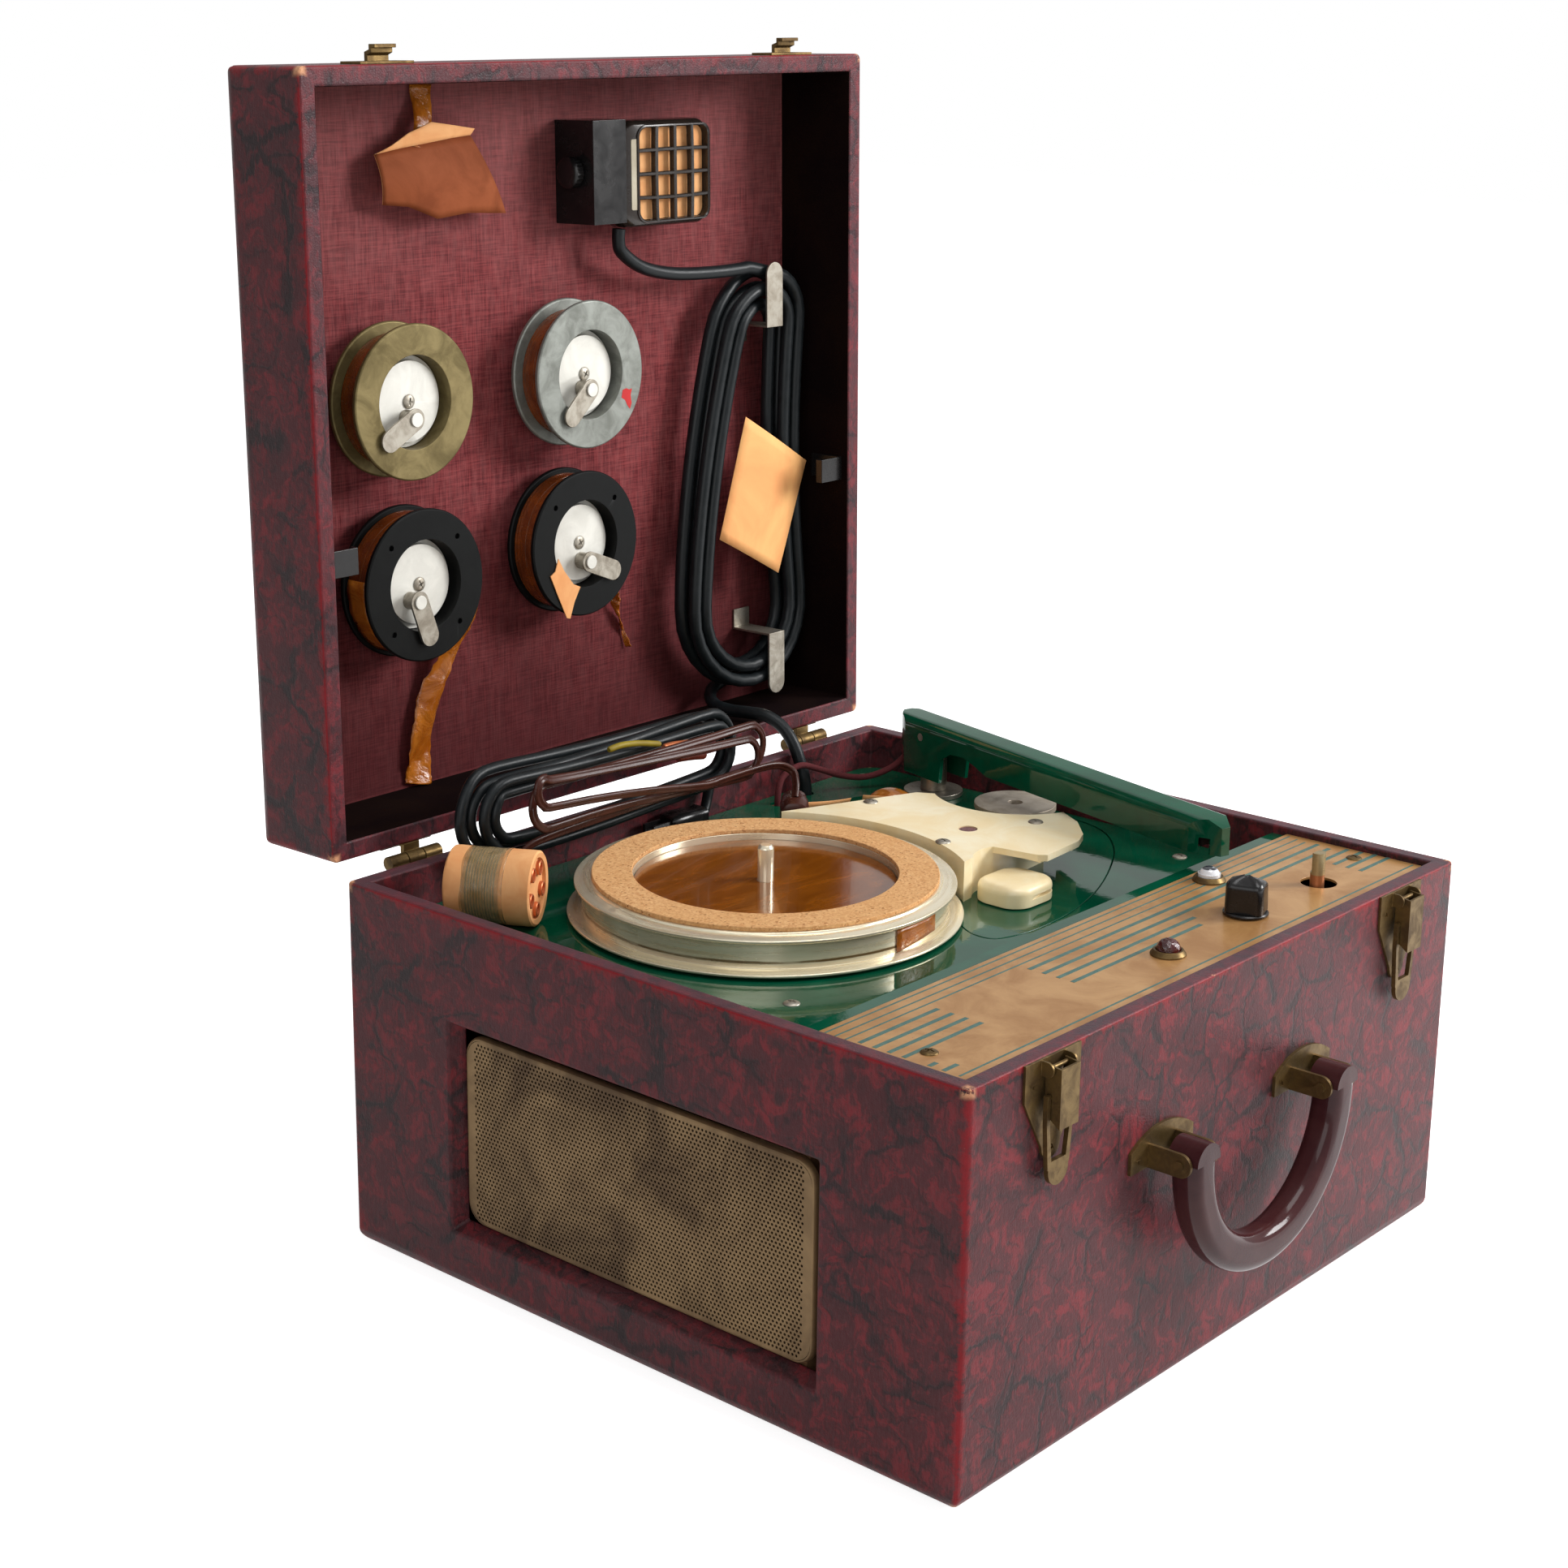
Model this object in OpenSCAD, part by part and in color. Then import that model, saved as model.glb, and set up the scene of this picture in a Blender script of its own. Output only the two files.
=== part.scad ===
// Portable record player, radio and wire recorder in a covered wooden case, lid open.
// Millimetres. X to the right, Y to the back, Z up, zero under the case floor at its middle.

/* [Case] */
// Width of the case
case_w = 360; // [352:1:372]
// Depth of the base from front to back
case_d = 340; // [334:1:352]
// Height of the base without the lid
base_h = 171; // [165:1:185]
// Thickness of the base walls
wall = 8; // [7:0.5:9]
// Depth of the lid from rim to top
lid_h = 52; // [51:1:58]
// Height of the grille window in the side wall
window_h = 97; // [90:1:98]

/* [Deck] */
// How far the deck lies below the rim
deck_drop = 19; // [18:0.5:20]
// Thickness of the deck sheet
deck_t = 1.5; // [1:0.1:2]
// How far the control panel lies below the rim
panel_drop = 3; // [2.5:0.5:4]
// Radius of the flange at the foot of the turntable drum
drum_r = 88; // [84:0.5:88.5]
// Height of the drum up to the cork
drum_h = 19; // [18:0.5:19]
// Radius of the cork ring
cork_r = 77; // [72:0.5:78]
// Radius of the spindle
spindle_r = 3.6; // [3:0.1:3.8]
// Diameter of the grey supply disc
supply_d = 40; // [36:1:42]
// Width of the ivory mode knob
mode_w = 32; // [28:1:33]
// Width of the tone arm
arm_w = 19; // [17:0.5:19]
// Diameter of the control shafts
shaft_d = 6.35; // [6:0.05:6.5]

/* [Front fittings] */
// Width across the carrying handle
handle_w = 123; // [118:1:125]
// Width of the handle grip seen from the front
grip_w = 16.5; // [15:0.5:17]
// Width of the latch plates
latch_w = 35; // [30:1:37]

/* [Lid contents] */
// Diameter of the spools
reel_d = 70; // [66:1:71]
// Thickness of the spools
reel_t = 18.6; // [17:0.2:18.6]
// Diameter of the microphone cord
mic_cord_d = 6.5; // [6:0.1:6.6]
// Diameter of the black lead
black_d = 5.2; // [4.8:0.1:5.3]
// Diameter of the brown lead
brown_d = 4.2; // [3.8:0.1:4.4]

/* [Hidden] */
$fn = 48;
hw = case_w / 2;
hd = case_d / 2;
iw = hw - wall;
id = hd - wall;
rim = base_h;
deck_z = rim - deck_drop;
under_z = deck_z - deck_t;
panel_t = 1.2;
panel_z = rim - panel_drop;
floor_t = 8;
edge_r = 3;
round_r = 8;
lid_wall = 8.6;
lid_top = 6;
lid_in_w = hw - lid_wall;
lid_in_d = hd - lid_wall;
lid_gap = 0.4;
roof = lid_h - lid_top;
hinge_y = hd + 6.7;
hinge_z = rim - 0.9;
open_deg = 91;
win_y = 2.5;
win_z = 74.5;
win_w = 207;
bevel = 4;
pan_w = win_w - 2 * bevel - 3;
pan_h = window_h - 2 * bevel - 2;
plan_w = 172;
board_y0 = -id + 73;
board_y1 = board_y0 + 8;
deck_y0 = board_y1 + 17;
deck_y1 = id - 1;
lean = (iw - plan_w) / 2;
drum_x = -44 + lean;
drum_y = 46;
drum_z = deck_z + 1;
cork_z = drum_z + drum_h;
hub_x = 134 + lean;
hub_y = 40;
mode_x = 47 + lean;
mode_y = -24;
button_at = [68 + lean, 19];
post_x = iw - 19;
post_y = 105;
arm_turn = -13.62;
arm_top = rim + 20.5;
arm_low = arm_top - 16.5;
lift_z = arm_top - 8.5;
cover_top = rim;
jewel_at = [-5, -id + 23];
eye_at = [88, board_y0 - 10.5];
selector_at = [60, -id + 26.5];
volume_at = [115.7, -id + 24.5];
pin_y = -hd - 16;
pin_z = 108;
grip_x = (handle_w - grip_w) / 2;
latch_x = hw - 50;
coil_x = iw - 52;
hook_x = iw - 35;
lever_y = -hd - 3.6;
lever_z = rim - 4;
link_z = rim - 15;
reel_front = roof - 6.4 - reel_t;
reels = [[-105, -23], [5.5, -24.5], [-102.5, 60.3], [0, 56]];
rivets = [[-2.1, 7.3], [-2.3, 6.7], [-6, 6.6], [0.5, 8.7]];
keeper_turn = [152, 137, 71, 22];

// Colours
c_case = [0.33, 0.07, 0.10];
c_wood = [0.55, 0.42, 0.28];
c_green = [0.03, 0.24, 0.15];
c_ivory = [0.90, 0.85, 0.66];
c_brass = [0.55, 0.45, 0.25];
c_steel = [0.65, 0.65, 0.66];
c_nickel = [0.72, 0.69, 0.60];
c_cork = [0.78, 0.58, 0.36];
c_brown = [0.30, 0.15, 0.08];
c_black = [0.05, 0.05, 0.05];

// Flat shapes and profiles
module round_rect(w, d, r) {
  square([w - 2 * r, d], center = true);
  square([w, d - 2 * r], center = true);
  for (x = [-1, 1], y = [-1, 1])
    translate([x * (w / 2 - r), y * (d / 2 - r)])
      circle(r);
}

module slot_shape(a, r) {
  circle(r);
  translate([0, -r])
    square([a, 2 * r]);
  translate([a, 0])
    circle(r);
}

// Outline with two rounded lower corners, standing on zero
module cup_profile(w, h, r) {
  translate([-w / 2, r])
    square([w, h - r]);
  translate([-w / 2 + r, 0])
    square([w - 2 * r, r + 1]);
  for (x = [-1, 1])
    translate([x * (w / 2 - r), r])
      circle(r);
}

// Outline with two rounded upper corners
module soft_top(w, top) {
  translate([-w / 2, top - 20])
    square([w, 17]);
  translate([-w / 2 + 3, top - 20])
    square([w - 6, 20]);
  for (x = [-1, 1])
    translate([x * (w / 2 - 3), top - 3])
      circle(3);
}

// Extrudes a drawing in x and z along y
module along_y(y0, y1) {
  translate([0, y1, 0])
    rotate([90, 0, 0])
      linear_extrude(y1 - y0)
        children();
}

// Extrudes a drawing in y and z along x
module along_x(x0, x1) {
  translate([x0, 0, 0])
    rotate([90, 0, 90])
      linear_extrude(x1 - x0)
        children();
}

module rounded_box(w, d, h, edge, r) {
  intersection() {
    linear_extrude(h)
      round_rect(w, d, edge);
    along_y(-d / 2 - 1, d / 2 + 1)
      cup_profile(w, h + 1, r);
    along_x(-w / 2 - 1, w / 2 + 1)
      cup_profile(d, h + 1, r);
  }
}

// Puts lid parts, drawn on the closed lid, where the open lid holds them
module lid() {
  translate([0, hinge_y, hinge_z])
    rotate([-open_deg, 0, 0])
      translate([0, -hinge_y, -hinge_z])
        children();
}

// Lid parts drawn above the rim plane
module in_lid() {
  lid()
    translate([0, 0, rim])
      children();
}

// Routes and tubes for cords
function unit(v) = v / norm(v);
function curve(a, b, c, d, t) =
  0.5 * (2 * b + (c - a) * t + (2 * a - 5 * b + 4 * c - d) * t * t + (3 * b - a - 3 * c + d) * t * t * t);
function route(p, n) = let (m = len(p) - 1)
  concat([for (i = [0 : m - 1]) for (j = [0 : n - 1])
    curve(p[max(i - 1, 0)], p[i], p[i + 1], p[min(i + 2, m)], j / n)], [p[m]]);
function tangents(p) = [for (i = [0 : len(p) - 1]) unit(p[min(i + 1, len(p) - 1)] - p[max(i - 1, 0)])];
function carry(t, i, u) = i >= len(t) ? [] :
  let (v = unit(u - (u * t[i]) * t[i])) concat([v], carry(t, i + 1, v));

module tube(p, r, sides) {
  t = tangents(p);
  u = carry(t, 0, abs(t[0].z) < 0.9 ? [0, 0, 1] : [1, 0, 0]);
  n = len(p);
  points = [for (i = [0 : n - 1]) for (k = [0 : sides - 1])
    p[i] + r * (cos(360 * k / sides) * u[i] + sin(360 * k / sides) * cross(t[i], u[i]))];
  sheath = [for (i = [0 : n - 2]) for (k = [0 : sides - 1])
    [i * sides + k, (i + 1) * sides + k, (i + 1) * sides + (k + 1) % sides, i * sides + (k + 1) % sides]];
  first = [[for (k = [0 : sides - 1]) k]];
  last = [[for (k = [0 : sides - 1]) n * sides - 1 - k]];
  polyhedron(points = points, faces = concat(sheath, first, last), convexity = 10);
}

// Least distance between far strands of one cord, from points to pieces
function to_piece(p, a, b) = let (d = b - a, t = max(0, min(1, (p - a) * d / (d * d)))) norm(p - a - t * d);
function self_gap(p, r, skip) = min([for (i = [0 : len(p) - 1]) for (j = [i + skip : 1 : len(p) - 2])
  to_piece(p[i], p[j], p[j + 1])]) - 2 * r;

// Wound loops go in and out again, one layer after another
function inset(q, nest, pitch) = let (k = floor(q / nest), f = q - k * nest) pitch * (k % 2 == 0 ? f : nest - f);
function ease(t) = let (s = max(0, min(1, t))) s * s * (3 - 2 * s);
function layer(q, nest) = let (k = round(q / nest), d = q - k * nest) k + ease(d / 0.24 + 0.5) - 1;

// Grille window in the left wall, wider outside than inside
module window_cut() {
  x0 = -hw - 1;
  x1 = -iw + 1;
  h0 = bevel / wall;
  intersection() {
    translate([0, 0, win_z - window_h])
      linear_extrude(2 * window_h)
        polygon([[x0, win_y - win_w / 2 - h0], [x1, win_y - win_w / 2 + bevel + h0],
          [x1, win_y + win_w / 2 - bevel - h0], [x0, win_y + win_w / 2 + h0]]);
    along_y(win_y - win_w, win_y + win_w)
      polygon([[x0, win_z - window_h / 2 - h0], [x1, win_z - window_h / 2 + bevel + h0],
        [x1, win_z + window_h / 2 - bevel - h0], [x0, win_z + window_h / 2 + h0]]);
  }
}

module case_base() color(c_case) difference() {
  rounded_box(case_w, case_d, base_h, edge_r, round_r);
  translate([-iw, -id, floor_t])
    cube([2 * iw, 2 * id, base_h]);
  window_cut();
}

// Four domed glides under the floor
module case_glides() color(c_steel)
  for (x = [-1, 1], y = [-1, 1])
    translate([x * (hw - 32), y * (hd - 32), 0])
      intersection() {
        translate([0, 0, 9.17])
          sphere(12.17);
        translate([-10, -10, -3])
          cube([20, 20, 3]);
      }

// Pressed grille with a raised pan that fills the window from behind
module grille_plate(w, h, r, x0, x1) {
  along_x(x0, x1)
    translate([win_y, win_z])
      round_rect(w, h, r);
}

module speaker_grille() color(c_brass) difference() {
  union() {
    grille_plate(pan_w, pan_h, 10, -iw - 3.2, -iw + 0.8);
    grille_plate(win_w, window_h + 2, 4, -iw, -iw + 0.8);
  }
  grille_plate(pan_w - 1.6, pan_h - 1.6, 9.2, -iw - 2.4, -iw + 1);
}

// Round loudspeaker with its cone, turned about X
module speaker() color([0.25, 0.25, 0.26])
  translate([-iw + 0.8, win_y, win_z])
    rotate([0, 90, 0]) {
      rotate_extrude()
        polygon([[46, 0], [50, 0], [50, 2], [48.6, 2], [26, 23], [26, 44], [9, 44], [9, 24],
          [12, 24], [12, 21.6], [24.5, 21.6], [46, 1.6]]);
      rotate_extrude()
        polygon([[0, 16], [8, 17.5], [12, 20], [45.8, 0.6], [45.8, 1.4], [12.5, 21.5], [7, 19], [0, 17]]);
    }

// Wooden rails that carry the deck and the panel
module deck_cleats() color(c_wood) difference() {
  rails();
  translate([0, 0, under_z - deck_t - 0.1])
    linear_extrude(10)
      head_shape(1.045);
  for (g = grommets)
    drill(g, 4);
  // Notch for the flange of the grille
  translate([-iw - 1, board_y0 - 1, win_z - window_h / 2 - 2])
    cube([2.2, 10, window_h + 4]);
}

module rails() {
  low = under_z - 14;
  for (s = [-1, 1]) {
    translate([s > 0 ? iw - 12 : -iw, deck_y0 + 6, low])
      cube([12, id - deck_y0 - 6, 14]);
    translate([s > 0 ? iw - 8 : -iw, -id, panel_z - panel_t - 14])
      cube([8, board_y0 + id + 1, 14]);
  }
  translate([-iw, id - 12, low])
    cube([2 * iw, 12, 14]);
  translate([-iw, deck_y0 + 6, low])
    cube([2 * iw, 10, 14]);
  translate([-iw, board_y0, floor_t])
    cube([2 * iw, 8, panel_z - panel_t - floor_t]);
  translate([-iw, -id, panel_z - panel_t - 14])
    cube([2 * iw, 10, 14]);
}

// Smooth outline of the head plate
head_line = [[26, -7], [13.5, -17], [1.4, -28], [-4.6, -40], [-2.8, -50], [10.7, -55], [27.5, -56], [48, -54],
  [79, -46], [113, -31], [141, -14], [160, 6], [166, 30], [160, 54], [142, 70], [110, 76], [70, 62], [40, 26]];
function closed_curve(p, n) = let (m = len(p)) [for (i = [0 : m - 1]) for (j = [0 : n - 1])
  curve(p[(i + m - 1) % m], p[i], p[(i + 1) % m], p[(i + 2) % m], j / n)];
module head_shape(k) {
  translate([80 + lean, 5])
    scale([k, k])
      translate([-80, -5])
        polygon(closed_curve(head_line, 4));
}

module drill(at, r) {
  translate([at.x, at.y, deck_z - 40])
    cylinder(r = r, h = 60);
}

grommets = [[84, id - 12], [108, id - 10], [-98, id - 12], [-108, id - 22]];
screws = [[-iw + 51, deck_y0 + 28], [iw - 22, deck_y0 + 19],
  [-iw + 17, id - 12], [iw - 20, id - 12]];
cover_screws = [[70 + lean, 79], [44 + lean, 15], [98 + lean, 2]];
panel_screws = [[-iw + 16.4, -id + 29], [iw - 11.5, -id + 31.5]];

// Enamelled deck with a rolled front lip
module deck_plate() color(c_green) difference() {
  intersection() {
    along_x(-iw + 1, iw - 1) {
      translate([deck_y0 + 6, under_z])
        square([deck_y1 - deck_y0 - 6, deck_t]);
      intersection() {
        difference() {
          translate([deck_y0 + 6, deck_z - 6])
            circle(6);
          translate([deck_y0 + 6, deck_z - 6])
            circle(6 - deck_t);
        }
        translate([deck_y0, deck_z - 6])
          square([6, 6]);
      }
      translate([deck_y0, deck_z - 12])
        square([deck_t, 6]);
    }
    translate([0, (deck_y0 + deck_y1) / 2, deck_z - 20])
      linear_extrude(30)
        round_rect(2 * iw - 2, deck_y1 - deck_y0, 12);
  }
  translate([0, 0, deck_z - 5])
    linear_extrude(10)
      head_shape(1);
  drill([drum_x, drum_y], spindle_r + 4);
  for (g = grommets)
    drill(g, 4);
}

// Inner plate under the recording head, held up by its own under plate
module head_plate() color([0.05, 0.22, 0.15]) difference() {
  union() {
    translate([0, 0, under_z])
      linear_extrude(deck_t)
        head_shape(0.988);
    translate([0, 0, under_z - deck_t])
      linear_extrude(deck_t)
        head_shape(1.03);
  }
  drill([mode_x, mode_y], 4.05);
  drill([hub_x, hub_y], 3.05);
  drill(button_at, 5);
}

// Pan and countersunk heads of one size
module screw_head(z) {
  translate([0, 0, z])
    difference() {
      union() {
        cylinder(r = 3.6, h = 0.5);
        translate([0, 0, 0.5])
          cylinder(r1 = 3.6, r2 = 2.4, h = 0.7);
      }
      for (a = [0, 90])
        rotate([0, 0, a])
          translate([-2.2, -0.4, 0.6])
            cube([4.4, 0.8, 1]);
    }
}

module top_screws() color(c_steel) {
  for (s = screws)
    translate(s)
      screw_head(deck_z);
  for (s = cover_screws)
    translate(s)
      screw_head(cover_top);
  for (s = panel_screws)
    translate(s)
      screw_head(panel_z);
}

// Ivory cover over the recording head
module cover_body() {
  difference() {
    translate([lean, 0])
      polygon([[24, -10.5], [54, -6], [100, -2], [108, 6], [104, 62], [98, 73], [26, 101], [20, 60]]);
    translate([drum_x, drum_y])
      circle(drum_r + 2.6, $fn = 96);
    translate([hub_x, hub_y])
      circle(supply_d / 2 + 20.5);
    translate([mode_x, mode_y])
      circle(19.4);
  }
}

module cover_hollow() {
  difference() {
    translate([lean, 0])
      polygon([[30, -6], [54, -3.5], [96, 0], [105, 8], [101, 60], [96, 71], [30, 96.5], [22, 60]]);
    translate([drum_x, drum_y])
      circle(drum_r + 5.2, $fn = 96);
    translate([hub_x, hub_y])
      circle(supply_d / 2 + 23);
    translate([mode_x, mode_y])
      circle(22);
  }
}

module head_cover() color(c_ivory) difference() {
  union() {
    translate([0, 0, deck_z])
      linear_extrude(cover_top - deck_z)
        cover_body();
    translate([0, 0, cover_top - 3])
      linear_extrude(3)
        difference() {
          translate([lean, 0])
            polygon([[54, -6], [58, -28], [61, -31.5], [88, -29.5], [98, -25], [112, -12], [120, 2], [108, 10], [70, 8]]);
          translate([hub_x, hub_y])
            circle(supply_d / 2 + 20.5);
        }
    // Tip of the wing turned down
    translate([lean, 0, cover_top - 9])
      linear_extrude(8)
        polygon([[110, -14], [120, 2], [117.5, 3], [107.6, -12.6]]);
    // Ribs under the wing
    for (x = [62, 74, 86, 98])
      translate([x + lean, -27 + (x > 90 ? 8 : 0), cover_top - 5])
        cube([1.6, x > 90 ? 14 : 22, 3]);
  }
  translate([0, 0, deck_z - 1])
    linear_extrude(cover_top - deck_z - 2)
      cover_hollow();
  translate([button_at.x, button_at.y, deck_z])
    cylinder(r = 4.5, h = 30);
}

module record_button() color([0.35, 0.02, 0.03])
  translate([button_at.x, button_at.y, 0]) {
    translate([0, 0, cover_top - 4.6])
      cylinder(r = 6, h = 1.6);
    translate([0, 0, cover_top - 4])
      cylinder(r = 4.4, h = 3.6);
    translate([0, 0, deck_z + 3.5])
      cylinder(r = 2, h = cover_top - deck_z - 8);
  }

// Ivory knob with a threading slot in its side
module mode_knob() color(c_ivory)
  translate([mode_x, mode_y, 0]) {
    difference() {
      intersection() {
        translate([0, 0, deck_z + 0.4])
          linear_extrude(9.6)
            round_rect(mode_w, mode_w - 4, 10);
        along_y(-mode_w, mode_w)
          soft_top(mode_w, deck_z + 10);
        along_x(-mode_w, mode_w)
          soft_top(mode_w - 4, deck_z + 10);
      }
      translate([2, -mode_w, deck_z + 4])
        cube([mode_w, mode_w - 6, 1.8]);
      translate([2, -6, deck_z + 4])
        cylinder(r = 3, h = 1.8);
    }
    translate([0, 0, deck_z - 9])
      cylinder(r = 4, h = 10);
  }

// Take up drum that is also the turntable, with its spindle
module turntable_drum() color(c_nickel)
  translate([drum_x, drum_y, 0]) {
    z = drum_z;
    top = cork_z - 2;
    rotate_extrude($fn = 120)
      polygon([[spindle_r, z], [drum_r - 1, z], [drum_r, z + 0.8], [drum_r, z + 1.6], [drum_r - 1, z + 2],
        [drum_r - 6.5, z + 2.4], [drum_r - 6.5, top - 3.6], [drum_r - 4, top - 3.2], [drum_r - 3.2, top - 2.6],
        [drum_r - 3.2, top - 1.6], [drum_r - 4.2, top - 1.2], [cork_r + 1.5, top - 1], [cork_r + 1, top],
        [cork_r - 18.2, top], [cork_r - 18.2, top - 4.6], [cork_r - 20, top - 4.6], [spindle_r, top - 4.6]]);
    translate([0, 0, deck_z - 30])
      cylinder(r = spindle_r, h = cork_z + 10 - deck_z + 30);
    translate([0, 0, cork_z + 10])
      cylinder(r1 = spindle_r, r2 = spindle_r - 1, h = 1.5);
  }

module cork_mat() color(c_cork)
  translate([drum_x, drum_y, cork_z - 2])
    difference() {
      cylinder(r = cork_r, h = 2, $fn = 120);
      translate([0, 0, -1])
        cylinder(r = cork_r - 18, h = 4, $fn = 120);
    }

module turntable_disc() color(c_brown)
  translate([drum_x, drum_y, cork_z - 6.6])
    difference() {
      cylinder(r = cork_r - 18.5, h = 1.6, $fn = 120);
      translate([0, 0, -1])
        cylinder(r = spindle_r + 0.05, h = 4);
    }

// Motor and bearing below the turntable
module turntable_motor() color([0.3, 0.3, 0.32])
  translate([drum_x, drum_y, 0]) {
    difference() {
      union() {
        translate([0, 0, under_z - 2])
          cylinder(r = 20, h = 2);
        translate([0, 0, deck_z - 34])
          cylinder(r = 9, h = 34 - deck_t);
        translate([20, 0, under_z - 2])
          cylinder(r = 26, h = 2);
        translate([34, 0, under_z - 48])
          cylinder(r = 24, h = 47);
      }
      translate([0, 0, deck_z - 30.1])
        cylinder(r = spindle_r + 0.05, h = 40);
    }
  }

module supply_hub() color([0.45, 0.45, 0.46])
  translate([hub_x, hub_y, 0]) difference() {
    union() {
      translate([0, 0, deck_z + 10])
        cylinder(r = supply_d / 2, h = 3);
      translate([0, 0, deck_z + 0.3])
        cylinder(r = 7, h = 10);
      translate([0, 0, deck_z - 12])
        cylinder(r = 3, h = 14);
    }
    translate([0, 0, deck_z + 7])
      cylinder(r = 3.5, h = 10);
  }

// Places tone arm parts: zero on the swivel, the nose towards minus y
module on_arm() {
  translate([post_x, post_y, 0])
    rotate([0, 0, arm_turn])
      children();
}

arm_half = arm_w / 2;
arm_len = 208;
nose_y = -arm_len + 14;

module arm_plan(g) {
  h = arm_half - g;
  polygon([[-h, 12], [-h, nose_y], [-2.5, -arm_len + g], [2.5, -arm_len + g], [h, nose_y], [h, 12],
    [h - 3, 18.5 - g], [h - 7, 22.5 - g], [7 - h, 22.5 - g], [3 - h, 18.5 - g]]);
}

// Cast tone arm, open below, deep at the pivot with an arch before it
module tone_arm() color(c_green) on_arm() difference() {
  intersection() {
    translate([0, 0, rim - 20])
      linear_extrude(60)
        arm_plan(0);
    along_x(-20, 20)
      polygon([[-arm_len - 1, arm_low], [-52, arm_low], [-44, arm_low + 3], [-34, arm_low + 5.5], [-24, arm_low + 4.5],
        [-17, arm_low], [-15.5, arm_low - 12.5], [13, arm_low - 12.5], [15.5, arm_low], [30, arm_low],
        [30, arm_top], [-arm_len + 6, arm_top], [-arm_len - 1, arm_top - 4]]);
    along_y(-arm_len - 2, 40) {
      translate([-arm_half, 0])
        square([arm_w, arm_top - 5]);
      translate([-arm_half + 5, 0])
        square([arm_w - 10, arm_top]);
      for (s = [-1, 1])
        translate([s * (arm_half - 5), arm_top - 5])
          circle(5);
    }
  }
  intersection() {
    translate([0, 0, rim - 21])
      linear_extrude(arm_top - 2.5 - rim + 21)
        arm_plan(2);
    along_x(-20, 20)
      polygon([[-arm_len, rim - 21], [30, rim - 21], [30, arm_top], [-arm_len, arm_top]]);
  }
  // Sight slot in the nose
  translate([-6, nose_y - 6.8, arm_low - 1])
    rotate([0, 0, -25])
      translate([-2.2, -6, 0])
        cube([4.4, 12, 8.5]);
  translate([-20, 0, lift_z])
    rotate([0, 90, 0])
      cylinder(r = 2.05, h = 40);
}

module tone_arm_post() color(c_steel)
  translate([post_x, post_y, deck_z]) {
    cylinder(r = 15, h = 2.5);
    cylinder(r = 4, h = lift_z - deck_z - 5);
  }

// Yoke that turns on the post and carries the arm on a cross pin
module arm_yoke() color(c_steel) on_arm() difference() {
  union() {
    translate([0, 0, deck_z + 2.7])
      cylinder(r = 6.6, h = lift_z - deck_z - 0.2);
    translate([-arm_half, 0, lift_z])
      rotate([0, 90, 0])
        cylinder(r = 2, h = arm_w);
  }
  translate([0, 0, deck_z])
    cylinder(r = 4.05, h = lift_z - deck_z - 4.9);
}

module cartridge() color([0.6, 0.55, 0.45]) on_arm() {
  translate([-4.5, nose_y - 4, arm_low + 3])
    cube([9, 30, arm_top - 2.5 - arm_low - 3]);
  translate([0, nose_y + 1, arm_low + 0.6])
    cylinder(r1 = 0.5, r2 = 1.4, h = 3);
  translate([0, nose_y + 8, arm_low + 1.6])
    cylinder(r = 1.6, h = 2);
}

// Control panel across the front
module control_panel() color([0.62, 0.48, 0.26]) difference() {
  translate([-iw + 0.2, -id + 0.2, panel_z - panel_t])
    cube([2 * iw - 0.4, board_y0 + id - 0.2, panel_t]);
  translate(jewel_at)
    translate([0, 0, 100])
      cylinder(r = 5.6, h = 100);
  translate(eye_at)
    translate([0, 0, 100])
      cylinder(r = 5.6, h = 100);
  translate(selector_at)
    translate([0, 0, 100])
      cylinder(r = 4.8, h = 100);
  translate([volume_at.x + 3.3, volume_at.y + 1, 100])
    cylinder(r = 8, h = 100);
}

module jewel_bezels() color(c_brass)
  for (p = [jewel_at, eye_at])
    translate([p.x, p.y, panel_z])
      rotate_extrude()
        polygon([[4.2, -6], [5.4, -6], [5.4, 0], [7.5, 0], [7.5, 0.6], [6.2, 2.4], [5.3, 2.4], [5.3, 0.4], [4.2, 0.4]]);

module pilot_jewel() color([0.45, 0.02, 0.04])
  translate([jewel_at.x, jewel_at.y, panel_z + 0.4]) {
    cylinder(r = 5.1, h = 3, $fn = 8);
    translate([0, 0, 3])
      cylinder(r1 = 5.1, r2 = 4.2, h = 1.8, $fn = 8);
    translate([0, 0, 4.8])
      rotate([0, 0, 22.5])
        cylinder(r1 = 4.2, r2 = 1.6, h = 2, $fn = 8);
  }

module eye_lamp() color([0.9, 0.9, 0.9])
  translate([eye_at.x, eye_at.y, panel_z + 0.4]) {
    cylinder(r = 5.1, h = 3.2);
    translate([0, 0, 1.2])
      intersection() {
        sphere(5.1);
        cylinder(r = 5.1, h = 5.5);
      }
  }

module selector_knob() color(c_black)
  translate([selector_at.x, selector_at.y, 0]) {
    translate([0, 0, panel_z + 0.4])
      cylinder(r = 9.8, h = 1.6);
    rotate([0, 0, 20])
      intersection() {
        translate([0, 0, panel_z + 1.9])
          linear_extrude(16)
            round_rect(17, 17, 4);
        along_y(-12, 12)
          polygon([[-9, panel_z], [9, panel_z], [9, panel_z + 13], [2, panel_z + 18], [-9, panel_z + 15]]);
      }
    translate([0, 0, panel_z - 12])
      cylinder(d = shaft_d, h = 13);
  }

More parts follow.
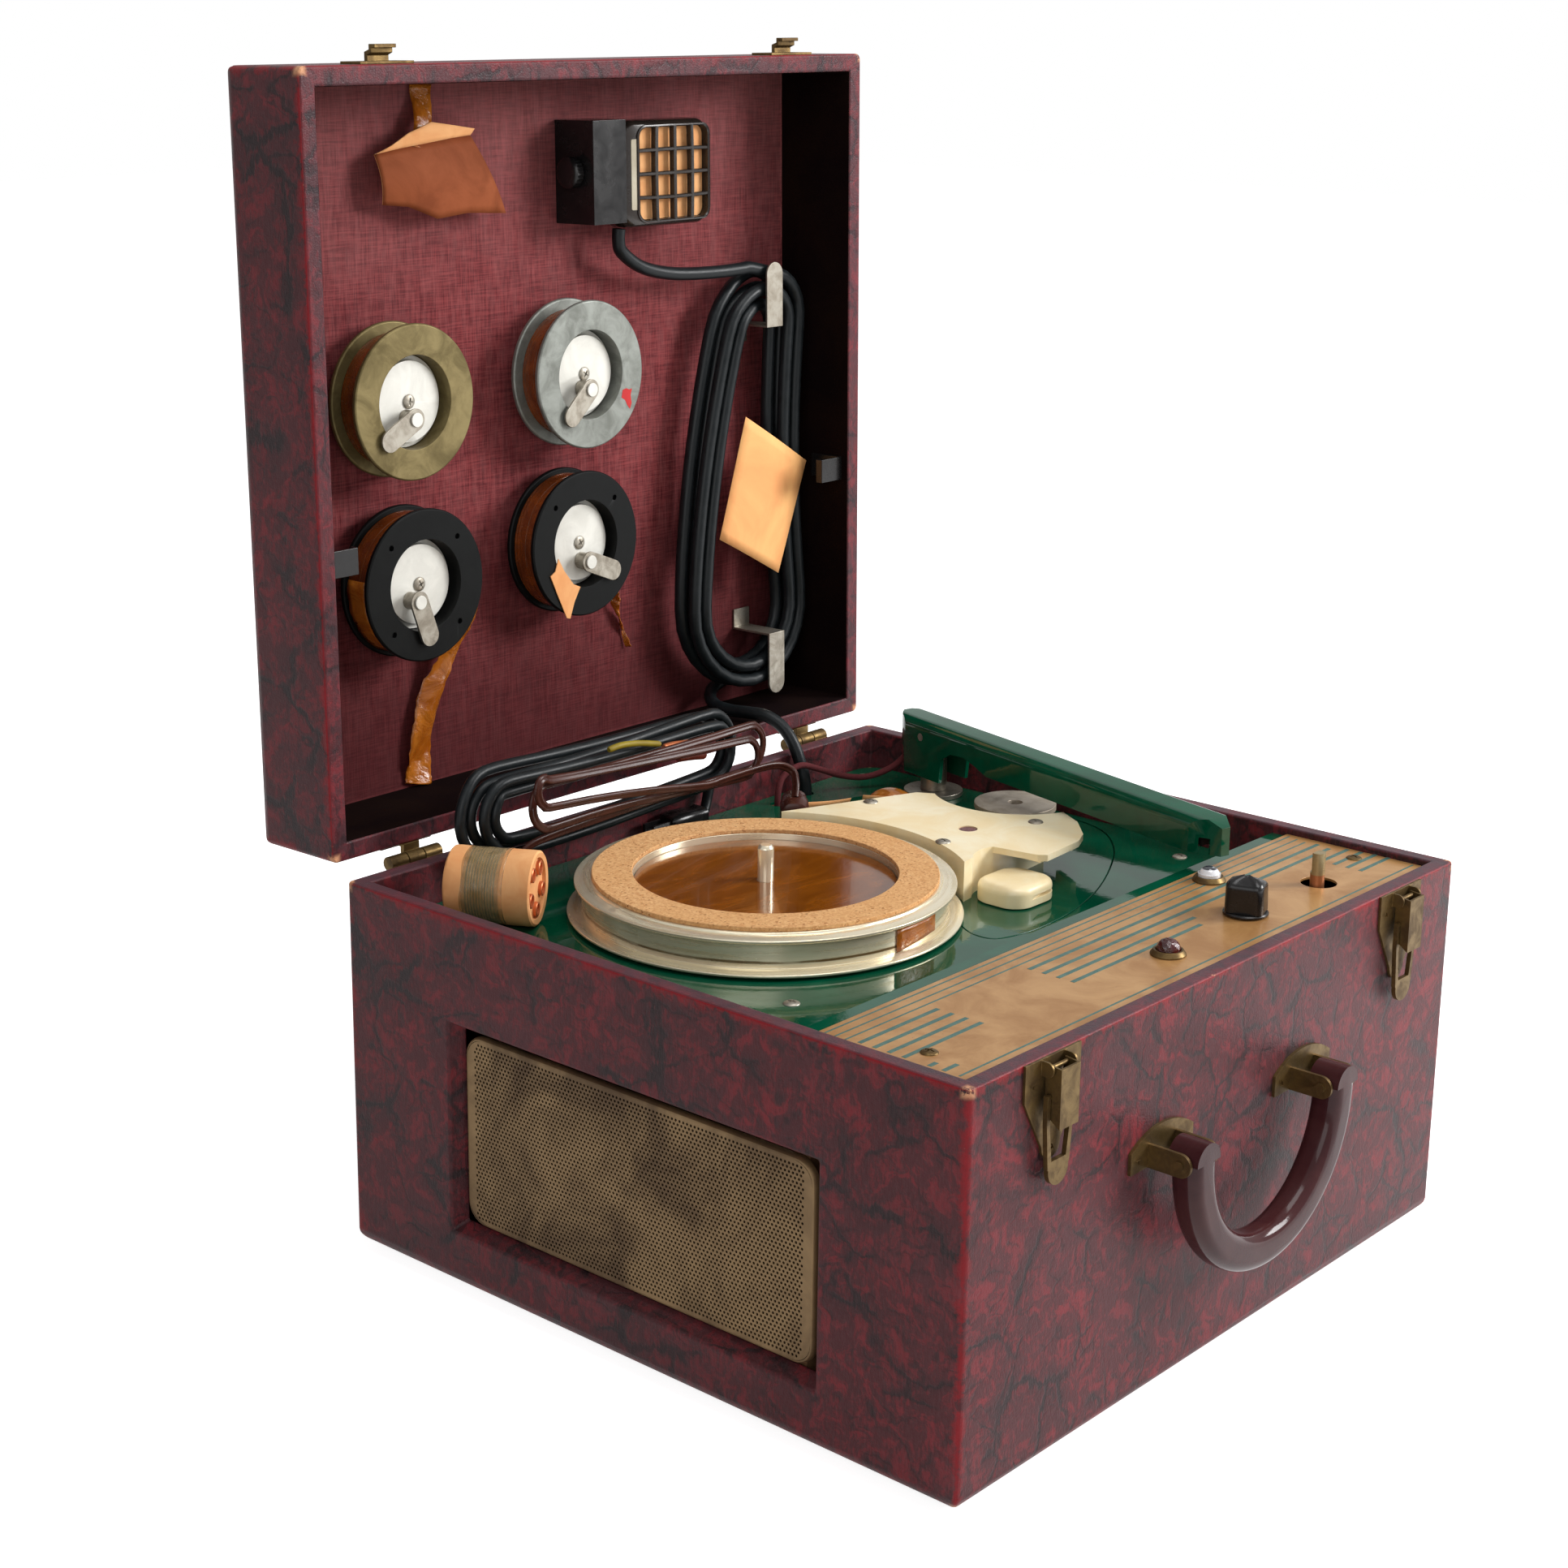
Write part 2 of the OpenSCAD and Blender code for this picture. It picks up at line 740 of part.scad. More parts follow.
module volume_shaft() color(c_steel)
  translate([volume_at.x, volume_at.y, 0]) difference() {
    translate([0, 0, panel_z - 16])
      cylinder(d = shaft_d, h = 31);
    translate([-4, 1.4, panel_z + 6])
      cube([8, 4, 12]);
  }

// Amplifier and radio chassis with valves, transformer and the two controls
module amplifier() color([0.45, 0.45, 0.46]) difference() {
  union() {
    translate([-40, -id, panel_z - panel_t - 15.5])
      cube([180, board_y0 + id, 1.5]);
    for (p = [selector_at, volume_at])
      translate([p.x, p.y, 0]) {
        translate([0, 0, panel_z - 27])
          cylinder(r = 12, h = 11);
        translate([0, 0, panel_z - 18])
          cylinder(r = 4.7, h = p == volume_at ? 7 : 17);
      }
    translate([-40, board_y1, floor_t])
      cube([180, 150, 20]);
    translate([70, board_y1 + 12, floor_t + 20])
      cube([52, 46, 44]);
    for (i = [0 : 3])
      translate([-10 + 42 * i, board_y1 + 90, floor_t + 20]) {
        cylinder(r = 15, h = 8);
        cylinder(r = 13, h = 50);
        translate([0, 0, 50])
          cylinder(r1 = 13, r2 = 6, h = 8);
      }
  }
  for (p = [selector_at, volume_at])
    translate([p.x, p.y, panel_z - 17])
      cylinder(r = shaft_d / 2 + 0.05, h = 30);
}

// Latches: plates fixed to the case front
module latch_plates() color(c_brass)
  for (s = [-1, 1])
    translate([s * latch_x, -hd, 0]) {
      along_y(-1.2, 0) {
        polygon([[-latch_w / 2, rim - 0.5], [-latch_w / 2, rim - 15.5], [-6, rim - 36], [6, rim - 36],
          [latch_w / 2, rim - 15.5], [latch_w / 2, rim - 0.5]]);
        translate([0, rim - 36])
          circle(6);
      }
      for (e = [-1, 1])
        along_x(e * 7.3 - 0.5, e * 7.3 + 0.5) {
          translate([-3.6, lever_z - 3])
            square([3, 6]);
          translate([-3.6, lever_z])
            circle(3);
        }
      translate([-7.8, -3.6, lever_z])
        rotate([0, 90, 0])
          cylinder(r = 1, h = 15.6);
    }

// Channel lever that pulls the loop tight
module latch_lever(s) {
  translate([s * latch_x, -hd, 0]) difference() {
    along_x(-6, 6)
      polygon([[-9, rim - 3.2], [-2.5, rim - 2.4], [-1.9, rim - 6], [-1.9, rim - 17], [-3.5, rim - 23], [-9, rim - 27]]);
    along_x(-5, 5)
      polygon([[-8, rim], [-1, rim], [-1, rim - 40], [-8, rim - 40]]);
    translate([-10, -3.6, lever_z])
      rotate([0, 90, 0])
        cylinder(r = 1.05, h = 20);
    translate([-10, -4, link_z])
      rotate([0, 90, 0])
        cylinder(r = 1.15, h = 20);
  }
}

module latch_lever_left() color(c_brass) latch_lever(-1);
module latch_lever_right() color(c_brass) latch_lever(1);

// Loop that hooks over the catch on the lid
module latch_link(s) {
  translate([s * latch_x, -hd - 4, link_z]) {
    translate([-8, 0, 0])
      rotate([0, 90, 0])
        cylinder(r = 1.1, h = 16);
    along_y(-1, 1)
      difference() {
        union() {
          polygon([[-8.4, 1], [8.4, 1], [8.4, -10], [6.8, -29], [-6.8, -29], [-8.4, -10]]);
          translate([0, -30])
            circle(6.4);
        }
        polygon([[-6.3, 2], [6.3, 2], [6.3, -12.8], [4.6, -26], [-4.6, -26], [-6.3, -12.8]]);
      }
  }
}

module latch_link_left() color(c_brass) latch_link(-1);
module latch_link_right() color(c_brass) latch_link(1);

// Carrying handle: half a ring with short straight ends
module handle() color([0.16, 0.04, 0.05])
  translate([0, pin_y, pin_z - 2]) difference() {
    union() {
      rotate([90, 0, 0])
        rotate_extrude(angle = 180, start = 180, $fn = 96)
          translate([grip_x, 0])
            round_rect(grip_w, 14, 5.5);
      for (s = [-1, 1]) {
        translate([s * grip_x, 0, 0])
          linear_extrude(2)
            round_rect(grip_w, 14, 5.5);
        translate([s * grip_x, 7, 2])
          rotate([90, 0, 0])
            intersection() {
              cylinder(r = grip_w / 2, h = 14);
              translate([-grip_w / 2, 0, 0])
                cube([grip_w, grip_w, 14]);
            }
      }
    }
    translate([-100, 0, 2])
      rotate([0, 90, 0])
        cylinder(r = 2.05, h = 200);
  }

module handle_plates() color(c_brass)
  for (s = [-1, 1])
    translate([s * grip_x, -hd, 0]) {
      along_y(-1.4, 0) {
        translate([-22, pin_z - 5])
          square([44, 9]);
        intersection() {
          translate([0, pin_z - 27])
            circle(38);
          translate([-22, pin_z - 5])
            square([44, 20]);
        }
      }
      for (e = [-1, 1])
        along_x(e * (grip_w / 2 + 1.3) - 0.75, e * (grip_w / 2 + 1.3) + 0.75) {
          translate([-16, pin_z - 5])
            square([16, 10]);
          translate([-16, pin_z])
            circle(5);
        }
      translate([-grip_w / 2 - 3, -16, pin_z])
        rotate([0, 90, 0])
          cylinder(r = 2, h = grip_w + 6);
    }

// Hinges: base halves with their pins, lid halves
module hinge_base_leaves() color(c_brass)
  for (s = [-1, 1]) {
    translate([s * (hw - 45), 0, 0]) {
      for (k = [-1, 1])
        along_x(k * 10 - 5, k * 10 + 4.8) {
          translate([hinge_y, hinge_z])
            circle(3.3);
          translate([hd, hinge_z - 3.3])
            square([6.7, 2.6]);
        }
      along_x(-15, 14.8)
        translate([hd, hinge_z - 30])
          square([1.4, 29.3]);
      along_x(-15, 14.8)
        translate([hinge_y, hinge_z])
          circle(1.5);
    }
  }

module hinge_lid_leaves() color(c_brass) lid()
  for (s = [-1, 1])
    translate([s * (hw - 45), 0, 0]) {
      along_x(-4.7, 4.5)
        difference() {
          union() {
            translate([hinge_y, hinge_z])
              circle(3.3);
            translate([hd, hinge_z + 0.9])
              square([6.7, 2.4]);
          }
          translate([hinge_y, hinge_z])
            circle(1.56);
        }
      along_x(-4.7, 4.5)
        translate([hd, hinge_z + 0.9])
          square([1.4, 30]);
      along_x(-15, 14.8)
        translate([hd, hinge_z + 4.5])
          square([1.4, 26.4]);
    }

// Open lid
module lid_shell() color(c_case) in_lid() difference() {
  translate([0, 0, lid_h])
    rotate([180, 0, 0])
      rounded_box(case_w, case_d, lid_h - lid_gap, edge_r, round_r);
  translate([-lid_in_w, -lid_in_d, -10])
    cube([2 * lid_in_w, 2 * lid_in_d, roof + 10]);
}

module lid_catches() color(c_brass) in_lid()
  for (s = [-1, 1])
    translate([s * latch_x, -hd, 0]) {
      along_y(-1.2, 0)
        translate([-15, 3])
          square([30, 13]);
      along_x(-6, 6)
        polygon([[0, 11], [-5, 11], [-6, 8], [-8.2, 8], [-8.2, 4], [-6.6, 4], [-6.6, 6.4], [-4.6, 6.4], [-3.6, 9], [0, 9]]);
    }

// Spools and the parts that hold them in the lid
module reel_holders() color([0.85, 0.85, 0.83]) in_lid()
  for (i = [0 : 3])
    translate([reels[i].x, reels[i].y, 0]) difference() {
      union() {
        translate([0, 0, roof - 6.4])
          cylinder(r = 27, h = 6.4);
        translate([0, 0, reel_front + 8])
          cylinder(r = 20.8, h = roof - reel_front - 8);
        translate([0, 0, reel_front + 5])
          cylinder(r = 18.3, h = 5);
        translate([0, 0, reel_front + 4.2])
          cylinder(r = 2.9, h = 2);
        translate([rivets[i].x, rivets[i].y, reel_front - 2.6])
          cylinder(r = 1.8, h = 9);
        translate([rivets[i].x, rivets[i].y, reel_front - 3.3])
          cylinder(r = 3.2, h = 0.9);
      }
      for (a = [0, 90])
        translate([0, 0, reel_front + 4])
          rotate([0, 0, a + 20])
            translate([-2.2, -0.4, 0])
              cube([4.4, 0.8, 1]);
    }

module keeper(i) color(c_steel) in_lid()
  translate([reels[i].x + rivets[i].x, reels[i].y + rivets[i].y, reel_front - 2.3])
    rotate([0, 0, keeper_turn[i]])
      difference() {
        union() {
          linear_extrude(1.2)
            slot_shape(17, 5);
          cylinder(r = 4, h = 7.2);
        }
        translate([0, 0, -1])
          cylinder(r = 1.86, h = 12);
      }

module keeper_1() keeper(0);
module keeper_2() keeper(1);
module keeper_3() keeper(2);
module keeper_4() keeper(3);

module reel(i) {
  r = reel_d / 2;
  translate([reels[i].x, reels[i].y, reel_front])
    rotate_extrude($fn = 96)
      polygon([[21.1, 0], [r - 0.6, 0], [r, 0.6], [r, 2], [r - 0.6, 2.6], [24, 2.6], [24, reel_t - 2.6],
        [r - 0.6, reel_t - 2.6], [r, reel_t - 2], [r, reel_t - 0.6], [r - 0.6, reel_t], [21.1, reel_t]]);
}

module reel_brass() color([0.45, 0.38, 0.22]) in_lid() reel(0);
module reel_zinc() color([0.5, 0.52, 0.52]) in_lid() reel(1);
module reels_black() color(c_black) in_lid()
  for (i = [2, 3])
    difference() {
      reel(i);
      for (a = [45 : 90 : 315])
        translate([reels[i].x + 28 * cos(a), reels[i].y + 28 * sin(a), reel_front - 1])
          cylinder(r = 1.3, h = 3);
    }

// Amber windings, two of them with loose ends
module reel_windings() color([0.45, 0.22, 0.05]) in_lid() {
  for (i = [0 : 3])
    translate([reels[i].x, reels[i].y, reel_front + 2.9])
      difference() {
        cylinder(r = i < 2 ? 30 : 32.5, h = reel_t - 5.8, $fn = 72);
        translate([0, 0, -1])
          cylinder(r = 24.3, h = 30);
      }
  translate([0, 0, reel_front + 5])
    linear_extrude(9)
      polygon([[-80.6, 83.2], [-79.7, 83.6], [-70, 100], [-69.2, 118], [-70.2, 118], [-71, 100.4]]);
}

// Microphone in its clamp
module mic_clamp() color(c_black) in_lid() difference() {
  translate([9, -142, 20.5])
    cube([22, 48, roof - 20.5]);
  translate([0, -118, 33])
    rotate([0, 90, 0])
      cylinder(r = 2.55, h = 22);
}

module mic_thumbscrew() color(c_black) in_lid()
  translate([8.7, -118, 33])
    rotate([0, -90, 0]) {
      cylinder(r = 7, h = 7);
      translate([0, 0, -12])
        cylinder(r = 2.5, h = 13);
    }

mic_x0 = 27;
mic_x1 = 91;
mic_front = 20;
module mic_body() color([0.22, 0.20, 0.18]) in_lid() difference() {
  union() {
    intersection() {
      translate([31.2, -142, mic_front])
        cube([mic_x1 - 31.2, 52, 17]);
      translate([(mic_x0 + mic_x1) / 2, -116, 0])
        linear_extrude(60)
          round_rect(mic_x1 - mic_x0, 50, 9);
      along_x(0, 120)
        polygon([[-141, 50], [-141, 24], [-137, mic_front], [-95, mic_front], [-91, 24], [-91, 50]]);
    }
    translate([40, -132, 36])
      cube([40, 32, roof - 36]);
  }
  for (i = [0 : 3], j = [0 : 3])
    translate([40.5 + 12.2 * i, -137 + 10.8 * j, mic_front - 1])
      cube([9.4, 8.4, 5.5]);
}

// Spring clips and hooks in the lid
module lid_clips() color(c_steel) in_lid() {
  // Hooks that hold the cord coil
  for (p = [[hook_x, -36.4, -1], [hook_x + 1, 123.4, 1]])
    translate([p.x - 6, p.y, 0]) {
      translate([0, -0.6, 20.2])
        cube([12, 1.2, roof - 20.2]);
      translate([0, p.z > 0 ? 0 : -26, 20.2])
        cube([12, 26, 1.2]);
      translate([6, p.z * 26, 20.2])
        cylinder(r = 6, h = 1.2);
      translate([0, p.z > 0 ? -10 : 0, roof - 1.2])
        cube([12, 10, 1.2]);
    }
  // Side clips on the lid walls
  for (s = [-1, 1])
    translate([s * lid_in_w, 39, 0]) {
      translate([s > 0 ? -1.2 : 0, -6, 4.5])
        cube([1.2, 12, 20]);
      translate([s > 0 ? -16 : 0, -6, 4.5])
        cube([16, 12, 1.2]);
      translate([s * -15.4 - 0.6, -6, 4.5])
        cube([1.2, 12, 4]);
    }
}

// Microphone cord: from the clamp to the upper hook, then the hanging coil
// Ring with straight sides round two circles, the first one smaller by d
function track(f, c, b, d) = let (h = asin(d / (2 * c)), t = b - d)
  f < 0.2 ? let (g = f / 0.2, r = t + d * g) [-c + 2 * c * g - r * sin(h), r * cos(h)] :
  f < 0.5 ? let (a = 90 + h - (180 + 2 * h) * (f - 0.2) / 0.3) [c + b * cos(a), b * sin(a)] :
  f < 0.7 ? let (g = (f - 0.5) / 0.2, r = b - d * g) [c - 2 * c * g - r * sin(h), -r * cos(h)] :
  let (a = -90 - h - (180 - 2 * h) * (f - 0.7) / 0.3) [-c + t * cos(a), t * sin(a)];
coil_y = 37;
function coil_point(q) = let (s = inset(q, 2, 8.1), f = q + 0.85, p = track(f - floor(f), 69, 45 - s, 14))
  [coil_x + 15 * pow((p.x - 40) / 125, 2) + p.y, coil_y + p.x, 26 + 7.3 * max(0, layer(q, 2))];
mic_route = [[35, -90.6, 30], [35, -85, 30.5], [38, -79, 31], [52, -71, 31], [74, -66.5, 30.5],
  [coil_x - 18, -65.5, 28], [coil_x + 4, -66.2, 26.4]];
mic_path = concat(route(mic_route, 4), [for (i = [0 : 108]) coil_point(i / 24)]);
echo(mic_cord_gap = self_gap(mic_path, mic_cord_d / 2, 12));

module mic_cord() color(c_black) in_lid() tube(mic_path, mic_cord_d / 2, 6);

// Last part of the microphone cord, from the lid down to the deck
function open_point(p) = let (y = p.y - hinge_y, z = p.z + rim - hinge_z, c = cos(open_deg), n = sin(open_deg))
  [p.x, hinge_y + y * c + z * n, hinge_z - y * n + z * c];
coil_end = open_point(mic_path[len(mic_path) - 1]);
coil_way = unit(coil_end - open_point(mic_path[len(mic_path) - 2]));
tail_route = [coil_end + 0.3 * coil_way, coil_end + 7 * coil_way, [coil_x - 10.5, hinge_y + 41.2, rim + 24.4],
  [102.4, hinge_y + 36.5, rim + 21.4], [98.4, hinge_y + 28.3, rim + 19.4], [98, hinge_y + 17.8, rim + 18.8],
  [99.8, hinge_y + 7.3, rim + 19.2], [102.6, hinge_y - 2.1, rim + 18.6], [105.2, id + 4.4, rim + 14.2],
  [106.8, id - 2.1, rim + 6], [107.7, id - 6.6, rim - 4.5], [108, id - 9.3, deck_z + 5], [108, id - 10, deck_z - 4]];
module mic_cord_tail() color(c_black) tube(route(tail_route, 4), mic_cord_d / 2, 8);

module instruction_tag() color([0.85, 0.55, 0.36]) in_lid()
  translate([coil_x - 120, 0, 22.2])
    linear_extrude(0.4)
      polygon([[117, 8], [164, 36], [141, 92], [96, 68]]);

black_pitch = 6.2;
function black_point(q) = let (s = inset(q, 2, black_pitch), k = layer(q, 2), lo = -125.5 - 5.6 * k + 0.7 * k * k,
    hi = 51.6 + 4.4 * k - 2.2 * k * k, rise = -0.01 + 0.047 * k - 0.026 * k * k,
    p = track(q - floor(q), (hi - lo) / 2 - 22, 22 - s, 0), x = (lo + hi) / 2 + p.x)
  [x, id - 16.4 + 5.8 * k, rim + 18.5 + 2.2 * k - 1.9 * k * k + rise * (x + 36) + 1.2 * sin(x * 1.6) + p.y];
black_in = [[-98, id - 12, deck_z - 5], [-98, id - 12, deck_z + 4], [-102, id - 15, deck_z + 9],
  [-108.5, id - 16.8, deck_z + 18]];
black_out = [[41, id - 5, deck_z + 18.5], [37.5, id - 6.2, deck_z + 11.5], [34, id - 7.7, deck_z + 7],
  [30, id - 8.5, deck_z + 5.5]];
black_path = concat(route(concat(black_in, [black_point(0.8)]), 3), [for (i = [1 : 86]) black_point(0.8 + i / 24)],
  route(concat([black_point(4.42)], black_out), 3));
echo(black_lead_gap = self_gap(black_path, black_d / 2, 10));
module black_lead() color(c_black) {
  tube(black_path, black_d / 2, 6);
  // Plug lying behind the coil
  translate([6, id - 15, deck_z])
    cube([24, 13, 11]);
  for (y = [id - 12, id - 6])
    translate([-6, y, deck_z + 4])
      cube([12.5, 1.4, 3]);
}

// Twin brown lead with its moulded plug
brown_pitch = 5.6;
function brown_point(q) = let (s = inset(q, 1, brown_pitch), k = layer(q, 1),
    p = track(q - floor(q), 64.8 + 1.27 * k, 13 - s, 0), x = -33.6 + 6.7 * k + p.x)
  [x, id - 35.2 + 5 * k + 0.015 * x,
    rim + 25 - 3.7 * k + (0.075 * k - 0.09) * (x + 20) - 2.5 * sin(x * 1.3) + p.y];
brown_in = [[56, id - 47, deck_z + 17], [60, id - 44, deck_z + 23], [62, id - 39, deck_z + 28],
  [50, id - 35, deck_z + 31.5]];
brown_out = [[-100, id - 26, rim + 6], [-107, id - 24, rim - 3], [-108, id - 22, deck_z + 5],
  [-108, id - 22, deck_z - 5]];
brown_path = concat(route(concat(brown_in, [brown_point(0.54)]), 4), [for (i = [1 : 50]) brown_point(0.54 + i / 24)],
  route(concat([brown_point(2.66)], brown_out), 4));
echo(brown_lead_gap = self_gap(brown_path, brown_d / 2, 10));
module brown_lead() color([0.22, 0.09, 0.06]) {
  tube(brown_path, brown_d / 2, 6);
  translate([56, id - 47, deck_z])
    rotate([0, 0, 42])
      translate([-8, -7, 0])
        cube([22, 14, 17.2]);
}

// Cloth covered lead of the tone arm
arm_route = [[post_x + 3, post_y + 12.6, deck_z + 24], [post_x + 0.2, post_y + 18, deck_z + 17],
  [post_x - 6.7, post_y + 23.2, deck_z + 10], [136, id - 26, deck_z + 6], [124, id - 19, deck_z + 8],
  [112, id - 16, deck_z + 13], [100, id - 13, deck_z + 17], [89, id - 11, deck_z + 13], [84, id - 12, deck_z + 5],
  [84, id - 12, deck_z - 5]];
module tone_arm_lead() color([0.30, 0.06, 0.08]) tube(route(arm_route, 4), 1.6, 8);

// Taped roll lying on the deck
module wrapped_roll() color([0.75, 0.45, 0.28])
  translate([-iw + 27, id - 22, deck_z + 17])
    rotate([0, 90, atan2(-34, 20)]) difference() {
      cylinder(r = 17, h = 39.4, $fn = 40);
      for (a = [0 : 72 : 288])
        rotate([0, 0, a])
          translate([9.5, 0, 38.6])
            cylinder(r = 3.6, h = 2);
    }

module amber_piece() color([0.55, 0.28, 0.08])
  translate([112 + lean, id - 44, deck_z])
    rotate([0, 90, -64]) intersection() {
      cylinder(r = 9, h = 26);
      translate([-10, -10, 0])
        cube([10, 20, 26]);
    }

case_base();
case_glides();
speaker_grille();
speaker();
deck_cleats();
deck_plate();
head_plate();
top_screws();
head_cover();
record_button();
mode_knob();
turntable_drum();
cork_mat();
turntable_disc();
turntable_motor();
supply_hub();
tone_arm();
tone_arm_post();
arm_yoke();
cartridge();
control_panel();
jewel_bezels();
pilot_jewel();
eye_lamp();
selector_knob();
volume_shaft();
amplifier();
latch_plates();
latch_lever_left();
latch_lever_right();
latch_link_left();
latch_link_right();
handle();
handle_plates();
hinge_base_leaves();
hinge_lid_leaves();
lid_shell();
lid_catches();
reel_holders();
keeper_1();
keeper_2();
keeper_3();
keeper_4();
reel_brass();
reel_zinc();
reels_black();
reel_windings();
mic_clamp();
mic_thumbscrew();
mic_body();
lid_clips();
mic_cord();
mic_cord_tail();
instruction_tag();
black_lead();
brown_lead();
tone_arm_lead();
wrapped_roll();
amber_piece();
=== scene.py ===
"""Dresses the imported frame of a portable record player, radio and wire recorder.

The covered wooden case stands with its lid open. Sizes are millimetres in the classes and
become metres as meshes are made. X runs to the right, Y to the back and Z up.
"""

import logging
import math
import random
from dataclasses import dataclass, field
from enum import Enum
from typing import Callable, Iterable, Optional, Sequence, Union

import bmesh
import bpy
from mathutils import Matrix, Vector


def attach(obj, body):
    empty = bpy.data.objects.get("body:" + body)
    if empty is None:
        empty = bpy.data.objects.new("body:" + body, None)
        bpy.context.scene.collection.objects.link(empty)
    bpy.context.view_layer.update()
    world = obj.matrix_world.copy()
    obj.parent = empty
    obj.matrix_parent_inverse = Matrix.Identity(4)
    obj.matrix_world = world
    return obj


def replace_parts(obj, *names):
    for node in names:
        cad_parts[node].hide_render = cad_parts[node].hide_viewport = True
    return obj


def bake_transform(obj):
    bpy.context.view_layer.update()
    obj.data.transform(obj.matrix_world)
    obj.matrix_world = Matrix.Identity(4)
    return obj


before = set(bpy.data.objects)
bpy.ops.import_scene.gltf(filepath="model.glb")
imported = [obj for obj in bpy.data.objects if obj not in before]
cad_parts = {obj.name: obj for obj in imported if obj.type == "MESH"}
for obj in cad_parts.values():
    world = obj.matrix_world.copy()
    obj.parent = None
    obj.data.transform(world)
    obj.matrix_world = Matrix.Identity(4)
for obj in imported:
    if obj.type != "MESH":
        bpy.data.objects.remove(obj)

LOG = logging.getLogger("record_player")
MM = 0.001
WELD = 1e-7
Point = Sequence[float]
Feed = Union[float, Sequence[float], bpy.types.NodeSocket]


class Body(str, Enum):
    """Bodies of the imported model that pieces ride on."""

    CASE = "case"
    LID = "lid"
    TURNTABLE = "turntable"
    SUPPLY = "supply_disc"
    ARM = "tone_arm_unit"
    SWIVEL = "arm_swivel"
    MODE = "mode_control"
    BUTTON = "button"
    SELECTOR = "selector"
    VOLUME = "volume"
    HANDLE = "handle_body"
    LEVER_LEFT = "lever_left"
    LEVER_RIGHT = "lever_right"
    LINK_LEFT = "link_left"
    LINK_RIGHT = "link_right"
    KEEPER_1 = "keeper_brass"
    KEEPER_2 = "keeper_zinc"
    KEEPER_3 = "keeper_left"
    KEEPER_4 = "keeper_right"
    THUMBSCREW = "thumbscrew"


# ---------------------------------------------------------------- sizes shared with the frame
HALF_W, HALF_D, RIM, WALL = 180.0, 170.0, 171.0, 8.0
DECK_Z, PANEL_Z = RIM - 19.0, RIM - 3.0
HINGE_Y, HINGE_Z, OPEN_DEG = HALF_D + 6.7, RIM - 0.9, 91.0
ROOF = 46.0
DRUM = (-44.0, 46.0)
LID_TO_ROW = (
    Matrix.Translation((0, HINGE_Y * MM, HINGE_Z * MM))
    @ Matrix.Rotation(math.radians(-OPEN_DEG), 4, "X")
    @ Matrix.Translation((0, -HINGE_Y * MM, (RIM - HINGE_Z) * MM))
)


def rgb(red: int, green: int, blue: int) -> tuple:
    """Returns the linear colour of a display colour given as three values up to 255."""
    parts = []
    for value in (red, green, blue):
        c = value / 255
        parts.append(c / 12.92 if c <= 0.04045 else ((c + 0.055) / 1.055) ** 2.4)
    return (*parts, 1.0)


def in_lid(x: float, y: float, z: float) -> Vector:
    """Returns the place in metres of a point drawn on the closed lid, z above the rim."""
    return LID_TO_ROW @ (Vector((x, y, z)) * MM)


